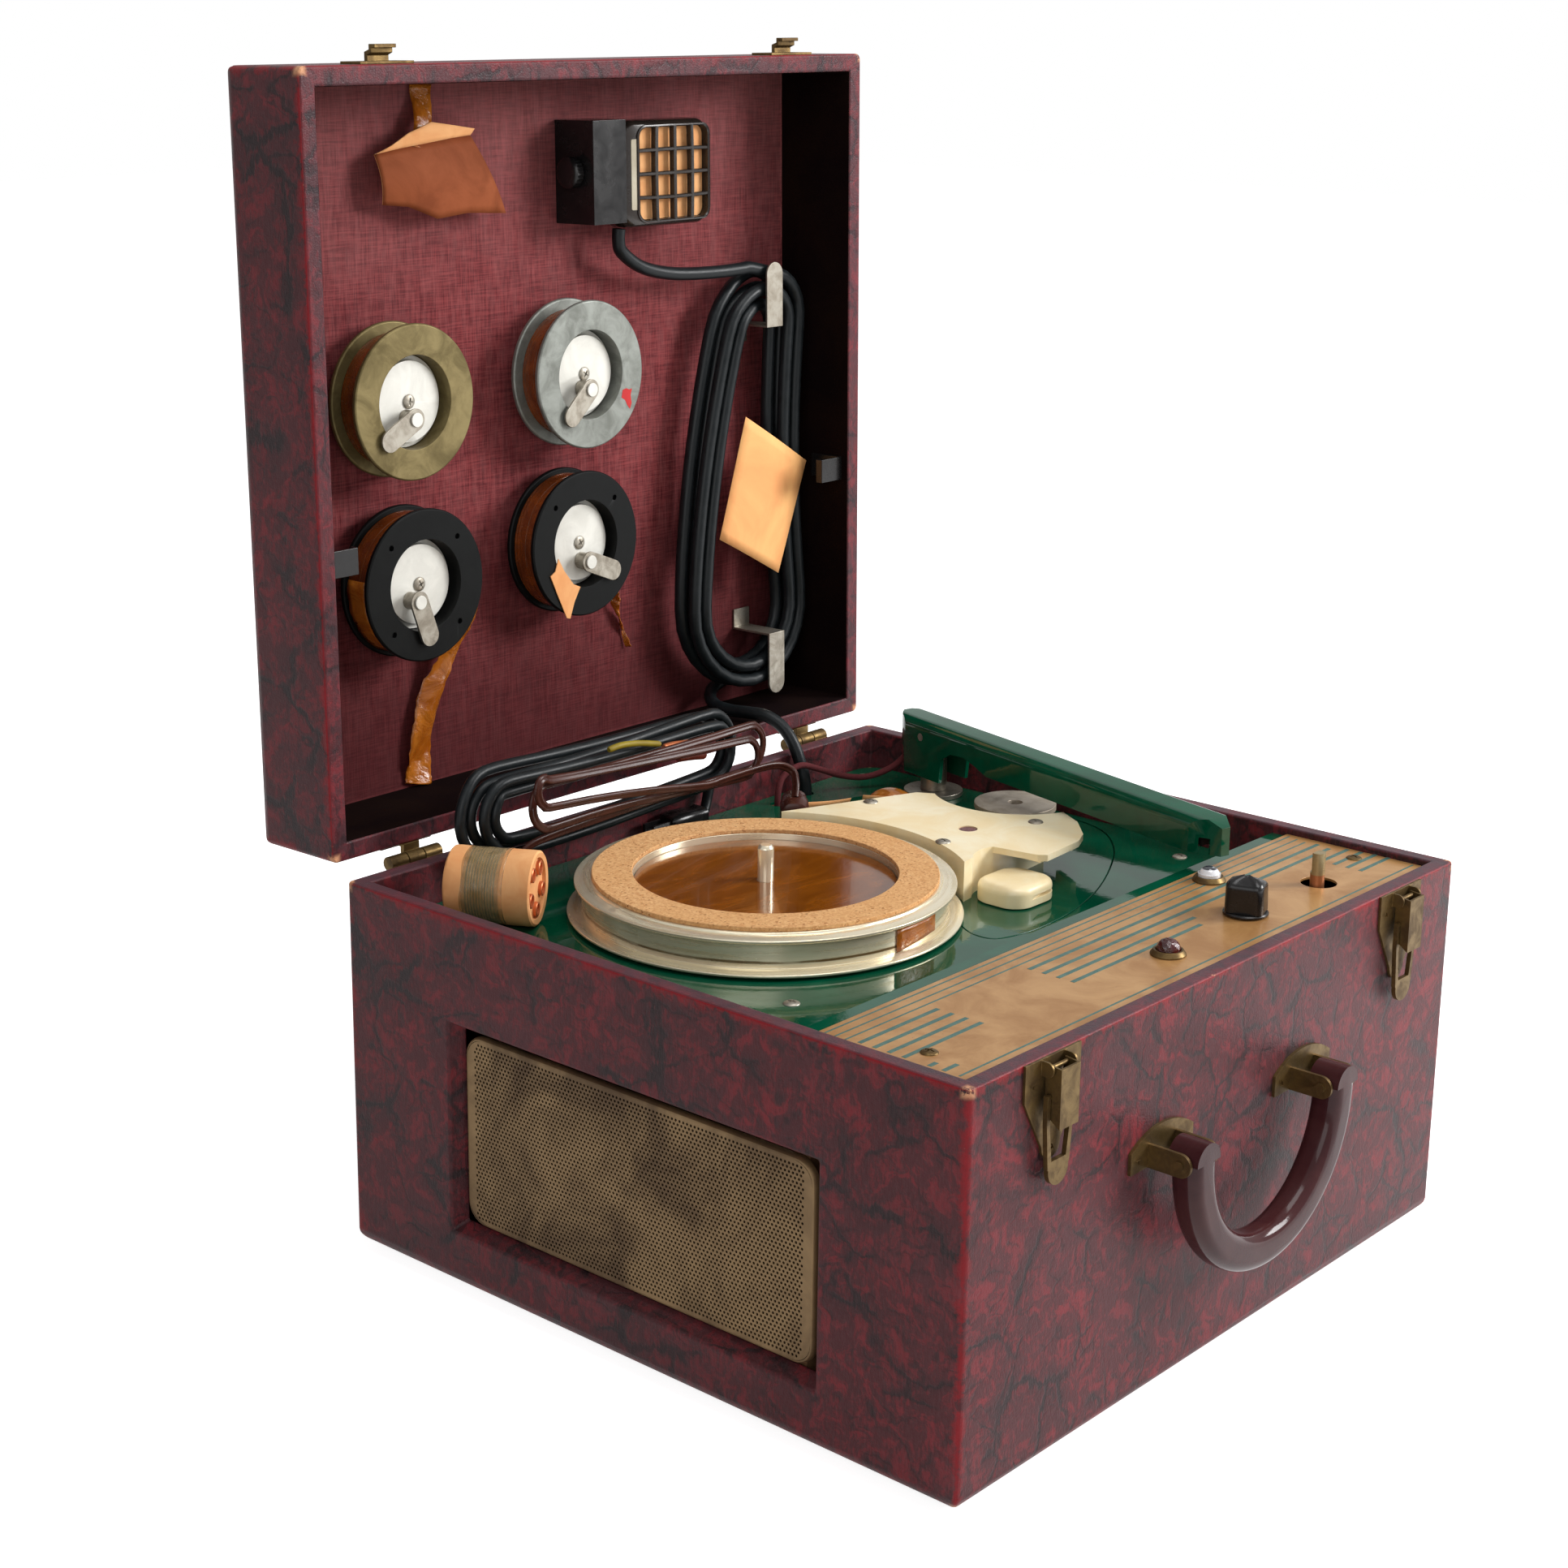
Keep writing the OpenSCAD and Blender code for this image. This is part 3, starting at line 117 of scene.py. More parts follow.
# ---------------------------------------------------------------- node graphs
class Graph:
    """Adds and links nodes in one node tree."""

    def __init__(self, tree: bpy.types.NodeTree) -> None:
        """Keeps the tree that the nodes go into."""
        self.tree = tree

    def feed(self, socket: bpy.types.NodeSocket, value: Feed) -> None:
        """Links a socket to another, or sets its value."""
        if isinstance(value, bpy.types.NodeSocket):
            self.tree.links.new(value, socket)
        else:
            socket.default_value = value

    def add(self, kind: str, inputs: Optional[dict] = None, **settings: object) -> bpy.types.Node:
        """Adds a node.

        Args:
            kind: Blender's name of the node type.
            inputs: values or sockets by input name or number.
            settings: properties of the node.

        Returns:
            The new node.
        """
        node = self.tree.nodes.new(kind)
        for key, value in settings.items():
            setattr(node, key, value)
        for key, value in (inputs or {}).items():
            self.feed(node.inputs[key], value)
        return node

    def math(self, operation: str, a: Feed, b: Feed = 0.0, c: Feed = 0.0,
             clamp: bool = False) -> bpy.types.NodeSocket:
        """Returns the output of a Math node."""
        return self.add("ShaderNodeMath", {0: a, 1: b, 2: c}, operation=operation,
                        use_clamp=clamp).outputs[0]

    def vector(self, operation: str, a: Feed, b: Feed = (0, 0, 0)) -> bpy.types.NodeSocket:
        """Returns the output of a Vector Math node: a number for a length, else a vector."""
        node = self.add("ShaderNodeVectorMath", {0: a, 1: b}, operation=operation)
        return node.outputs[1 if operation == "LENGTH" else 0]

    def xyz(self, x: Feed = 0.0, y: Feed = 0.0, z: Feed = 0.0) -> bpy.types.NodeSocket:
        """Returns a vector put together from three numbers."""
        return self.add("ShaderNodeCombineXYZ", {0: x, 1: y, 2: z}).outputs[0]

    def parts(self, vector: Feed) -> Sequence[bpy.types.NodeSocket]:
        """Returns the three numbers of a vector."""
        return self.add("ShaderNodeSeparateXYZ", {0: vector}).outputs

    def around(self, place: Feed, centre: Point) -> bpy.types.NodeSocket:
        """Returns a place as seen from a centre in millimetres."""
        return self.vector("SUBTRACT", place, tuple(v * MM for v in centre))

    def radius(self, place: Feed) -> bpy.types.NodeSocket:
        """Returns the distance of a place from the Z axis."""
        return self.vector("LENGTH", self.vector("MULTIPLY", place, (1.0, 1.0, 0.0)))

    def mix(self, factor: Feed, a: Feed, b: Feed, share: float = 1.0) -> bpy.types.NodeSocket:
        """Returns the mix of two colours, with the factor times a share as part of the second."""
        part = factor if share == 1.0 else self.math("MULTIPLY", factor, share)
        return self.add("ShaderNodeMix", {0: part, 6: a, 7: b}, data_type="RGBA").outputs[2]

    def step(self, value: Feed, low: float, high: float, start: float = 0.0,
             end: float = 1.0) -> bpy.types.NodeSocket:
        """Returns a soft step from start to end as value goes from low to high."""
        return self.add("ShaderNodeMapRange", {0: value, 1: low, 2: high, 3: start, 4: end},
                        interpolation_type="SMOOTHSTEP").outputs[0]

    def noise(self, place: Feed, per_metre: Feed, detail: float = 3.0, rough: float = 0.5,
              warp: float = 0.0) -> bpy.types.NodeSocket:
        """Returns a noise value with the given count of cells per metre."""
        return self.add("ShaderNodeTexNoise",
                        {"Vector": place, "Scale": per_metre, "Detail": detail,
                         "Roughness": rough, "Distortion": warp}).outputs[0]

    def stretched(self, place: Feed, scale: Point) -> bpy.types.NodeSocket:
        """Returns the place stretched by a scale on each axis."""
        return self.add("ShaderNodeMapping", {"Vector": place, "Scale": scale}).outputs[0]

    def group(self, tree: bpy.types.NodeTree, inputs: dict) -> Sequence[bpy.types.NodeSocket]:
        """Places a node group with its own values and returns its outputs."""
        node = self.tree.nodes.new("ShaderNodeGroup")
        node.node_tree = tree
        for key, value in inputs.items():
            self.feed(node.inputs[key], value)
        return node.outputs


def start_tree(name: str, family: str, inputs: dict, outputs: Iterable[str]) -> tuple:
    """Starts a shader or geometry tree.

    Args:
        name: name of the tree.
        family: Shader, whose outputs are numbers, or Geometry.
        inputs: first value of each number by input name, or the kind of any other input.
        outputs: names of the outputs.

    Returns:
        The tree, its graph, its inputs and its output node.
    """
    tree = bpy.data.node_groups.new(name, family + "NodeTree")
    for key, value in inputs.items():
        kind = {int: "Int", float: "Float"}.get(type(value), value)
        socket = tree.interface.new_socket(key, in_out="INPUT", socket_type="NodeSocket" + kind)
        if kind != value:
            socket.default_value = value
    for key in outputs:
        kind = "NodeSocketFloat" if family == "Shader" else "NodeSocketGeometry"
        tree.interface.new_socket(key, in_out="OUTPUT", socket_type=kind)
    start = tree.nodes.new("NodeGroupInput").outputs
    return tree, Graph(tree), start, tree.nodes.new("NodeGroupOutput")


class Effects:
    """Shader groups that several finishes share."""

    def __init__(self) -> None:
        """Builds each group once."""
        self.patina = self.build_patina()
        self.marbling = self.build_marbling()
        self.edges = self.build_edges()
        self.threads = self.build_threads()

    def build_patina(self) -> bpy.types.NodeTree:
        """Returns a group of clouds, specks and fine grain for worn surfaces."""
        tree, g, start, end = start_tree(
            "Patina", "Shader",
            {"Vector": "Vector", "Cloud Scale": 40.0, "Speck Scale": 500.0, "Speck Amount": 0.2,
             "Grain Scale": 2500.0},
            ("Cloud", "Speck", "Grain"))
        place = start["Vector"]
        cloud = g.noise(place, start["Cloud Scale"], 6.0, 0.62, 0.6)
        speck = g.noise(place, start["Speck Scale"], 4.0, 0.7)
        edge = g.math("SUBTRACT", 0.86, g.math("MULTIPLY", start["Speck Amount"], 0.4))
        over = g.math("MULTIPLY", g.math("SUBTRACT", speck, edge), 14.0, clamp=True)
        g.feed(end.inputs["Cloud"], g.step(cloud, 0.3, 0.7))
        g.feed(end.inputs["Speck"], over)
        g.feed(end.inputs["Grain"], g.noise(place, start["Grain Scale"], 2.0))
        return tree

    def build_marbling(self) -> bpy.types.NodeTree:
        """Returns a group that draws long feathery veins and streaky patches."""
        tree, g, start, end = start_tree(
            "Marbling", "Shader", {"Vector": "Vector", "Vein Scale": 14.0, "Patch Scale": 60.0},
            ("Vein", "Patch", "Grain"))
        place = start["Vector"]
        bend = g.add("ShaderNodeTexNoise",
                     {"Vector": place, "Scale": 24.0, "Detail": 4.0, "Roughness": 0.6})
        off_centre = g.vector("SUBTRACT", bend.outputs[1], (0.5, 0.5, 0.5))
        shift = g.add("ShaderNodeVectorMath", {0: off_centre, "Scale": 0.03}, operation="SCALE")
        warped = g.vector("ADD", place, shift.outputs[0])
        fibres = g.math("SUBTRACT", g.noise(g.stretched(place, (1.0, 1.0, 0.22)), 620.0, 4.0, 0.7),
                        0.5)
        turned = g.add("ShaderNodeMapping",
                       {"Vector": warped, "Rotation": (0.6, 0.5, 0.7), "Scale": (1.0, 0.6, 1.0)})
        # Each size of cell gives one set of veins: finer ones are relatively wider and fainter
        veins = 0.0
        for finer, width, part in ((1.0, 0.04, 1.0), (2.2, 0.055, 0.9), (4.4, 0.07, 0.6)):
            scale = g.math("MULTIPLY", start["Vein Scale"], finer)
            cells = g.add("ShaderNodeTexVoronoi", {"Vector": turned.outputs[0], "Scale": scale},
                          feature="DISTANCE_TO_EDGE")
            off = g.math("MULTIPLY_ADD", fibres, 0.09, cells.outputs["Distance"])
            fade = g.step(g.noise(place, 17.0 * finer, 3.0, 0.6), 0.44, 0.56, 0.0, part)
            core = g.step(off, 0.2 * width, width, 1.0, 0.0)
            shade = g.step(off, 0.0, 0.2, 0.4, 0.0)
            veins = g.math("MAXIMUM", veins,
                           g.math("MULTIPLY", g.math("MAXIMUM", core, shade), fade))
        patch_noise = g.noise(warped, start["Patch Scale"], 7.0, 0.7, 0.8)
        pores = g.add("ShaderNodeTexVoronoi", {"Vector": place, "Scale": 1300.0})
        fine = g.noise(g.stretched(place, (1.0, 1.0, 0.12)), 2600.0, 2.0)
        g.feed(end.inputs["Vein"], veins)
        g.feed(end.inputs["Patch"],
               g.step(g.math("MULTIPLY_ADD", fibres, 0.3, patch_noise), 0.46, 0.62))
        g.feed(end.inputs["Grain"],
               g.math("ADD", g.math("MULTIPLY", pores.outputs["Distance"], 0.6), fine))
        return tree

    def build_edges(self) -> bpy.types.NodeTree:
        """Returns a group that masks the worn edges and corners of a box."""
        tree, g, start, end = start_tree(
            "Box Edges", "Shader", {"Vector": "Vector", "Half Size": "Vector", "Reach": 0.004},
            ("Wear", "Chip"))
        place = start["Vector"]
        parts = g.parts(g.vector("SUBTRACT", start["Half Size"], g.vector("ABSOLUTE", place)))
        low = g.math("MINIMUM", parts[0], parts[1])
        high = g.math("MAXIMUM", parts[0], parts[1])
        middle = g.math("MAXIMUM", low, g.math("MINIMUM", high, parts[2]))
        rough = g.noise(place, 90.0, 6.0, 0.7)
        reach = g.math("MULTIPLY", start["Reach"], g.step(rough, 0.4, 0.64, 0.25, 1.7))
        near = g.math("SUBTRACT", 1.0, g.math("DIVIDE", middle, reach), clamp=True)
        corner_reach = 0.009
        away = g.math("DIVIDE", g.math("MAXIMUM", high, parts[2]), corner_reach)
        corner = g.math("SUBTRACT", 1.0, away, clamp=True)
        spots = g.step(g.noise(place, 150.0, 5.0, 0.7), 0.68, 0.74)
        chips = g.math("MULTIPLY", g.step(near, 0.35, 0.75), spots)
        worn = g.math("MULTIPLY", g.step(corner, 0.45, 0.8), g.step(rough, 0.42, 0.48))
        g.feed(end.inputs["Wear"], near)
        g.feed(end.inputs["Chip"], g.math("MAXIMUM", chips, worn))
        return tree

    def build_threads(self) -> bpy.types.NodeTree:
        """Returns a group of crossing threads."""
        tree, g, start, end = start_tree(
            "Threads", "Shader", {"Vector": "Vector", "Threads per Metre": 1800.0},
            ("Weave", "Slub"))
        place, count = start["Vector"], start["Threads per Metre"]
        across = g.noise(g.stretched(place, (1.0, 1.0, 0.05)), count, 3.0)
        along = g.noise(g.stretched(place, (0.05, 1.0, 1.0)), count, 3.0)
        slubs = g.noise(g.stretched(place, (1.0, 1.0, 0.25)), 260.0, 5.0, 0.7)
        g.feed(end.inputs["Weave"], g.math("MULTIPLY", g.math("ADD", across, along), 0.5))
        g.feed(end.inputs["Slub"], g.step(slubs, 0.35, 0.7))
        return tree


# ---------------------------------------------------------------- finishes
class Paint:
    """A material with its graph and its Principled shader."""

    def __init__(self, name: str, effects: Effects) -> None:
        """Starts a material with Object coordinates ready."""
        self.material = bpy.data.materials.new(name)
        self.material.use_nodes = True
        tree = self.material.node_tree
        tree.nodes.clear()
        self.g = Graph(tree)
        self.effects = effects
        self.shader = self.g.add("ShaderNodeBsdfPrincipled")
        self.g.add("ShaderNodeOutputMaterial", {0: self.shader.outputs[0]})
        self.place = self.g.add("ShaderNodeTexCoord").outputs["Object"]

    def set(self, **values: Feed) -> None:
        """Sets shader inputs by name, with underscores for spaces."""
        for key, value in values.items():
            self.g.feed(self.shader.inputs[key.replace("_", " ")], value)

    def bump(self, height: Feed, distance: float) -> None:
        """Raises the surface by a height between 0 and 1 times distance in metres."""
        self.set(Normal=self.g.add("ShaderNodeBump",
                                   {"Height": height, "Distance": distance}).outputs[0])

    def patina(self, cloud: float, speck: float, amount: float,
               grain: float) -> Sequence[bpy.types.NodeSocket]:
        """Places the patina group on this piece's own coordinates."""
        return self.g.group(self.effects.patina,
                            {"Vector": self.place, "Cloud Scale": cloud, "Speck Scale": speck,
                             "Speck Amount": amount, "Grain Scale": grain})


@dataclass(frozen=True)
class Finish:
    """A look that becomes one material.

    Attributes:
        name: name of the material.
    """

    name: str

    def make(self, effects: Effects) -> bpy.types.Material:
        """Returns the material."""
        paint = Paint(self.name, effects)
        self.lay(paint, paint.g)
        return paint.material

    def lay(self, paint: Paint, g: Graph) -> None:
        """Links this look to the shader."""
        raise NotImplementedError


@dataclass(frozen=True)
class Worn(Finish):
    """A coloured surface with clouds of a second colour, specks, and uneven gloss.

    Attributes:
        colours: display values of the surface, its clouds and its specks.
        gloss: roughness, and how much is added to it in the clouds.
        marks: clouds and specks per metre, and the amount of specks.
        grain: grains per metre, and their height in metres.
        metallic: share of metal.
        coat: weight of the clear coat.
        specular: strength of reflections.
    """

    colours: tuple
    gloss: tuple
    marks: tuple = (40, 500, 0.3)
    grain: tuple = (2500, 0.00002)
    metallic: float = 0.0
    coat: float = 0.0
    specular: float = 0.35

    def lay(self, paint: Paint, g: Graph) -> None:
        """Links the colours, the gloss and the grain."""
        base, clouds, specks = (rgb(*colour) for colour in self.colours)
        marks = paint.patina(*self.marks, self.grain[0])
        colour = g.mix(marks["Speck"], g.mix(marks["Cloud"], base, clouds), specks)
        roughness, uneven = self.gloss
        paint.set(Base_Color=colour,
                  Roughness=g.math("MULTIPLY_ADD", marks["Cloud"], uneven, roughness),
                  Metallic=self.metallic, Coat_Weight=self.coat, Coat_Roughness=0.06,
                  Specular_IOR_Level=self.specular)
        paint.bump(marks["Grain"], self.grain[1])


@dataclass(frozen=True)
class Leatherette(Finish):
    """Marbled maroon covering with worn red edges, a dusty rim and small pale chips.

    Attributes:
        centre: middle of the covered box in millimetres.
        half: half of its size.
        rim: 1 where the open side faces up, and -1 where it faces down.
        tilted: whether the box is open with the lid.
        dusty: share of dust on the rim.
    """

    centre: Point
    half: Point
    rim: float = 1.0
    tilted: bool = False
    dusty: float = 0.55

    def lay(self, paint: Paint, g: Graph) -> None:
        """Links marbling, haze, dust, worn edges and chips."""
        turn = (math.radians(OPEN_DEG), 0, 0) if self.tilted else (0, 0, 0)
        centred = g.around(paint.place, self.centre)
        local = g.add("ShaderNodeMapping", {"Vector": centred, "Rotation": turn}).outputs[0]
        marble = g.group(paint.effects.marbling,
                         {"Vector": paint.place, "Vein Scale": 16.0, "Patch Scale": 110.0})
        half = tuple(v * MM for v in self.half)
        edges = g.group(paint.effects.edges, {"Vector": local, "Half Size": half, "Reach": 0.0036})
        colour = g.mix(marble["Patch"], rgb(80, 37, 41), rgb(124, 42, 48))
        haze = g.step(g.noise(paint.place, 14.0, 4.0, 0.6), 0.35, 0.7)
        colour = g.mix(haze, colour, rgb(92, 56, 60), 0.3)
        colour = g.mix(marble["Vein"], colour, rgb(36, 28, 30), 0.95)
        dust = g.step(g.noise(g.stretched(paint.place, (1.0, 1.0, 0.3)), 900.0, 3.0, 0.6),
                      0.35, 0.8)
        colour = g.mix(dust, colour, rgb(114, 86, 90), 0.16)
        height = g.math("MULTIPLY", g.parts(local)[2], self.rim)
        top = g.step(height, (self.half[2] - 0.7) * MM, (self.half[2] - 0.15) * MM)
        colour = g.mix(top, colour, rgb(88, 68, 76), self.dusty)
        wear = g.math("MULTIPLY", edges["Wear"],
                      g.math("SUBTRACT", 1.0, g.math("MULTIPLY", top, 0.75)))
        colour = g.mix(wear, colour, rgb(150, 26, 34), 0.9)
        specks = paint.patina(30.0, 85.0, 0.0, 2000.0)["Speck"]
        colour = g.mix(g.math("MAXIMUM", edges["Chip"], specks), colour, rgb(214, 156, 118))
        paint.set(Base_Color=colour, Roughness=g.math("MULTIPLY_ADD", marble["Vein"], -0.08, 0.42),
                  Specular_IOR_Level=0.16)
        paint.bump(g.math("ADD", g.math("MULTIPLY", marble["Vein"], -0.9), marble["Grain"]),
                   0.00012)


@dataclass(frozen=True)
class Lining(Finish):
    """Maroon cloth paper pasted inside the lid, darker towards the bottom and paler towards the
    top.
    """

    def lay(self, paint: Paint, g: Graph) -> None:
        """Links the threads and the change from bottom to top."""
        cloth = g.group(paint.effects.threads, {"Vector": paint.place, "Threads per Metre": 1500.0})
        marks = paint.patina(12.0, 160.0, 0.05, 2000.0)
        colour = g.mix(g.step(cloth["Weave"], 0.35, 0.65), rgb(88, 36, 40), rgb(136, 62, 64))
        colour = g.mix(cloth["Slub"], colour, rgb(160, 98, 98), 0.25)
        height = g.parts(paint.place)[2]
        low = g.step(g.math("MULTIPLY_ADD", marks["Cloud"], -0.03, height), 0.17, 0.31, 1.0, 0.0)
        high = g.step(g.math("MULTIPLY_ADD", marks["Cloud"], 0.05, height), 0.38, 0.56, 0.0, 0.25)
        colour = g.mix(high, colour, rgb(156, 112, 110))
        colour = g.mix(low, colour, rgb(58, 22, 24), 0.75)
        colour = g.mix(marks["Speck"], colour, rgb(160, 120, 110))
        paint.set(Base_Color=colour, Roughness=0.9, Specular_IOR_Level=0.1)
        paint.bump(cloth["Weave"], 0.0003)


@dataclass(frozen=True)
class Cork(Finish):
    """Pressed cork with coarse pale and brown granules."""

    def lay(self, paint: Paint, g: Graph) -> None:
        """Links one shade to each granule."""
        granules = g.add("ShaderNodeTexVoronoi",
                         {"Vector": paint.place, "Scale": 1150.0, "Randomness": 1.0})
        shade = g.parts(granules.outputs["Color"])[0]
        marks = paint.patina(25.0, 420.0, 0.5, 2600.0)
        colour = g.mix(shade, rgb(202, 146, 94), rgb(232, 186, 132))
        colour = g.mix(g.step(shade, 0.93, 0.98), colour, rgb(158, 104, 60))
        colour = g.mix(marks["Cloud"], colour, rgb(212, 158, 100), 0.35)
        colour = g.mix(marks["Speck"], colour, rgb(110, 66, 36))
        paint.set(Base_Color=colour, Roughness=0.88, Specular_IOR_Level=0.25)
        paint.bump(shade, 0.0002)


@dataclass(frozen=True)
class TurnedNickel(Finish):
    """Nickel plate turned on a lathe, yellowed and rubbed through in places.

    Attributes:
        centre: a point of the axis in millimetres.
    """

    centre: Point

    def lay(self, paint: Paint, g: Graph) -> None:
        """Links the streaks that run round the axis."""
        local = g.around(paint.place, self.centre)
        parts, radius = g.parts(local), g.radius(local)
        turn = g.math("MULTIPLY", g.math("ARCTAN2", parts[1], parts[0]), 0.004)
        unrolled = g.xyz(radius, turn, parts[2])
        lines = g.noise(g.stretched(unrolled, (1.0, 0.1, 1.0)), 1700.0, 3.0, 0.6)
        streaks = g.noise(unrolled, 420.0, 5.0, 0.6, 0.2)
        specks = paint.patina(38.0, 330.0, 0.25, 2500.0)["Speck"]
        off_spindle = g.step(radius, 6.0 * MM, 8.0 * MM)
        dull = g.math("MULTIPLY", g.step(streaks, 0.4, 0.72), g.math("MULTIPLY", off_spindle, 0.6))
        colour = g.mix(dull, rgb(238, 228, 202), rgb(196, 176, 134))
        groove = g.math("MULTIPLY", g.step(parts[2], (DECK_Z + 7.0) * MM, (DECK_Z + 6.4) * MM),
                        g.step(parts[2], (DECK_Z + 5.2) * MM, (DECK_Z + 5.8) * MM))
        colour = g.mix(g.math("MULTIPLY", groove, g.step(streaks, 0.35, 0.6)), colour,
                       rgb(110, 88, 56))
        colour = g.mix(specks, colour, rgb(110, 84, 50), 0.6)
        base_gloss = g.math("MULTIPLY_ADD", off_spindle, 0.08, 0.14)
        paint.set(Base_Color=colour, Metallic=0.6,
                  Roughness=g.math("MULTIPLY_ADD", g.step(streaks, 0.3, 0.7), 0.08, base_gloss))
        paint.bump(g.math("MULTIPLY", lines, off_spindle), 0.00003)


@dataclass(frozen=True)
class LaminateDisc(Finish):
    """Glossy brown plastic disc with smoky streaks."""

    def lay(self, paint: Paint, g: Graph) -> None:
        """Links the smoke and the coat."""
        flow = g.noise(g.stretched(paint.place, (1.0, 3.0, 1.0)), 22.0, 7.0, 0.65, 1.6)
        specks = paint.patina(60.0, 700.0, 0.3, 2500.0)["Speck"]
        colour = g.mix(g.step(flow, 0.3, 0.75), rgb(112, 58, 8), rgb(142, 78, 14))
        colour = g.mix(specks, colour, rgb(204, 160, 100), 0.5)
        paint.set(Base_Color=colour, Roughness=0.14, Specular_IOR_Level=0.5, Coat_Weight=0.3,
                  Coat_Roughness=0.03)
        paint.bump(flow, 0.0001)


@dataclass(frozen=True)
class EyeGlass(Finish):
    """White glass dome with a dark pupil drawn round its top.

    Attributes:
        centre: a point of its axis in millimetres.
    """

    centre: Point

    def lay(self, paint: Paint, g: Graph) -> None:
        """Links the pupil and a faint cloudiness."""
        local = g.around(paint.place, self.centre)
        pupil = g.step(g.radius(local), 3.0 * MM, 3.4 * MM, 1.0, 0.0)
        colour = g.mix(pupil, rgb(232, 232, 236), rgb(20, 20, 28))
        colour = g.mix(g.noise(local, 900.0, 3.0), colour, rgb(170, 175, 190), 0.15)
        paint.set(Base_Color=colour, Roughness=0.08, Coat_Weight=1.0, Coat_Roughness=0.03)


@dataclass(frozen=True)
class Split(Finish):
    """Two colours of one turned piece, parted at a height.

    Attributes:
        below: linear colour under the parting.
        above: linear colour over it.
        height: height of the parting in millimetres.
    """

    below: tuple
    above: tuple
    height: float

    def lay(self, paint: Paint, g: Graph) -> None:
        """Links the parting and the tarnish."""
        marks = paint.patina(140.0, 900.0, 0.3, 2500.0)
        edge = g.step(g.parts(paint.place)[2], (self.height - 0.15) * MM, (self.height + 0.15) * MM)
        colour = g.mix(marks["Cloud"], g.mix(edge, self.below, self.above), rgb(90, 70, 50), 0.25)
        paint.set(Base_Color=colour, Roughness=g.math("MULTIPLY_ADD", marks["Cloud"], 0.15, 0.35),
                  Metallic=0.7)
        paint.bump(marks["Grain"], 0.00002)


@dataclass(frozen=True)
class Braid(Finish):
    """Woven cotton sleeve of a thin lead.

    Attributes:
        colour: linear colour of the threads.
        second: linear colour of their high spots.
    """

    colour: tuple
    second: tuple

    def lay(self, paint: Paint, g: Graph) -> None:
        """Links the weave."""
        weave = g.group(paint.effects.threads,
                        {"Vector": paint.place, "Threads per Metre": 2200.0})["Weave"]
        paint.set(Base_Color=g.mix(weave, self.colour, self.second), Roughness=0.9,
                  Specular_IOR_Level=0.2)
        paint.bump(weave, 0.0003)


@dataclass(frozen=True)
class Clear(Finish):
    """Coloured see-through film or glass.

    Attributes:
        colour: linear colour.
        second: linear colour of its clouds.
        clear: share of light that goes through.
        roughness: how dull it is.
        ior: how strongly it bends light.
    """

    colour: tuple
    second: tuple
    clear: float
    roughness: float = 0.12
    ior: float = 1.5

    def lay(self, paint: Paint, g: Graph) -> None:
        """Links the clouds and the glass."""
        clouds = paint.patina(70.0, 600.0, 0.3, 700.0)["Cloud"]
        paint.set(Base_Color=g.mix(clouds, self.colour, self.second), Roughness=self.roughness,
                  Transmission_Weight=self.clear, IOR=self.ior)
        paint.bump(clouds, 0.0006)


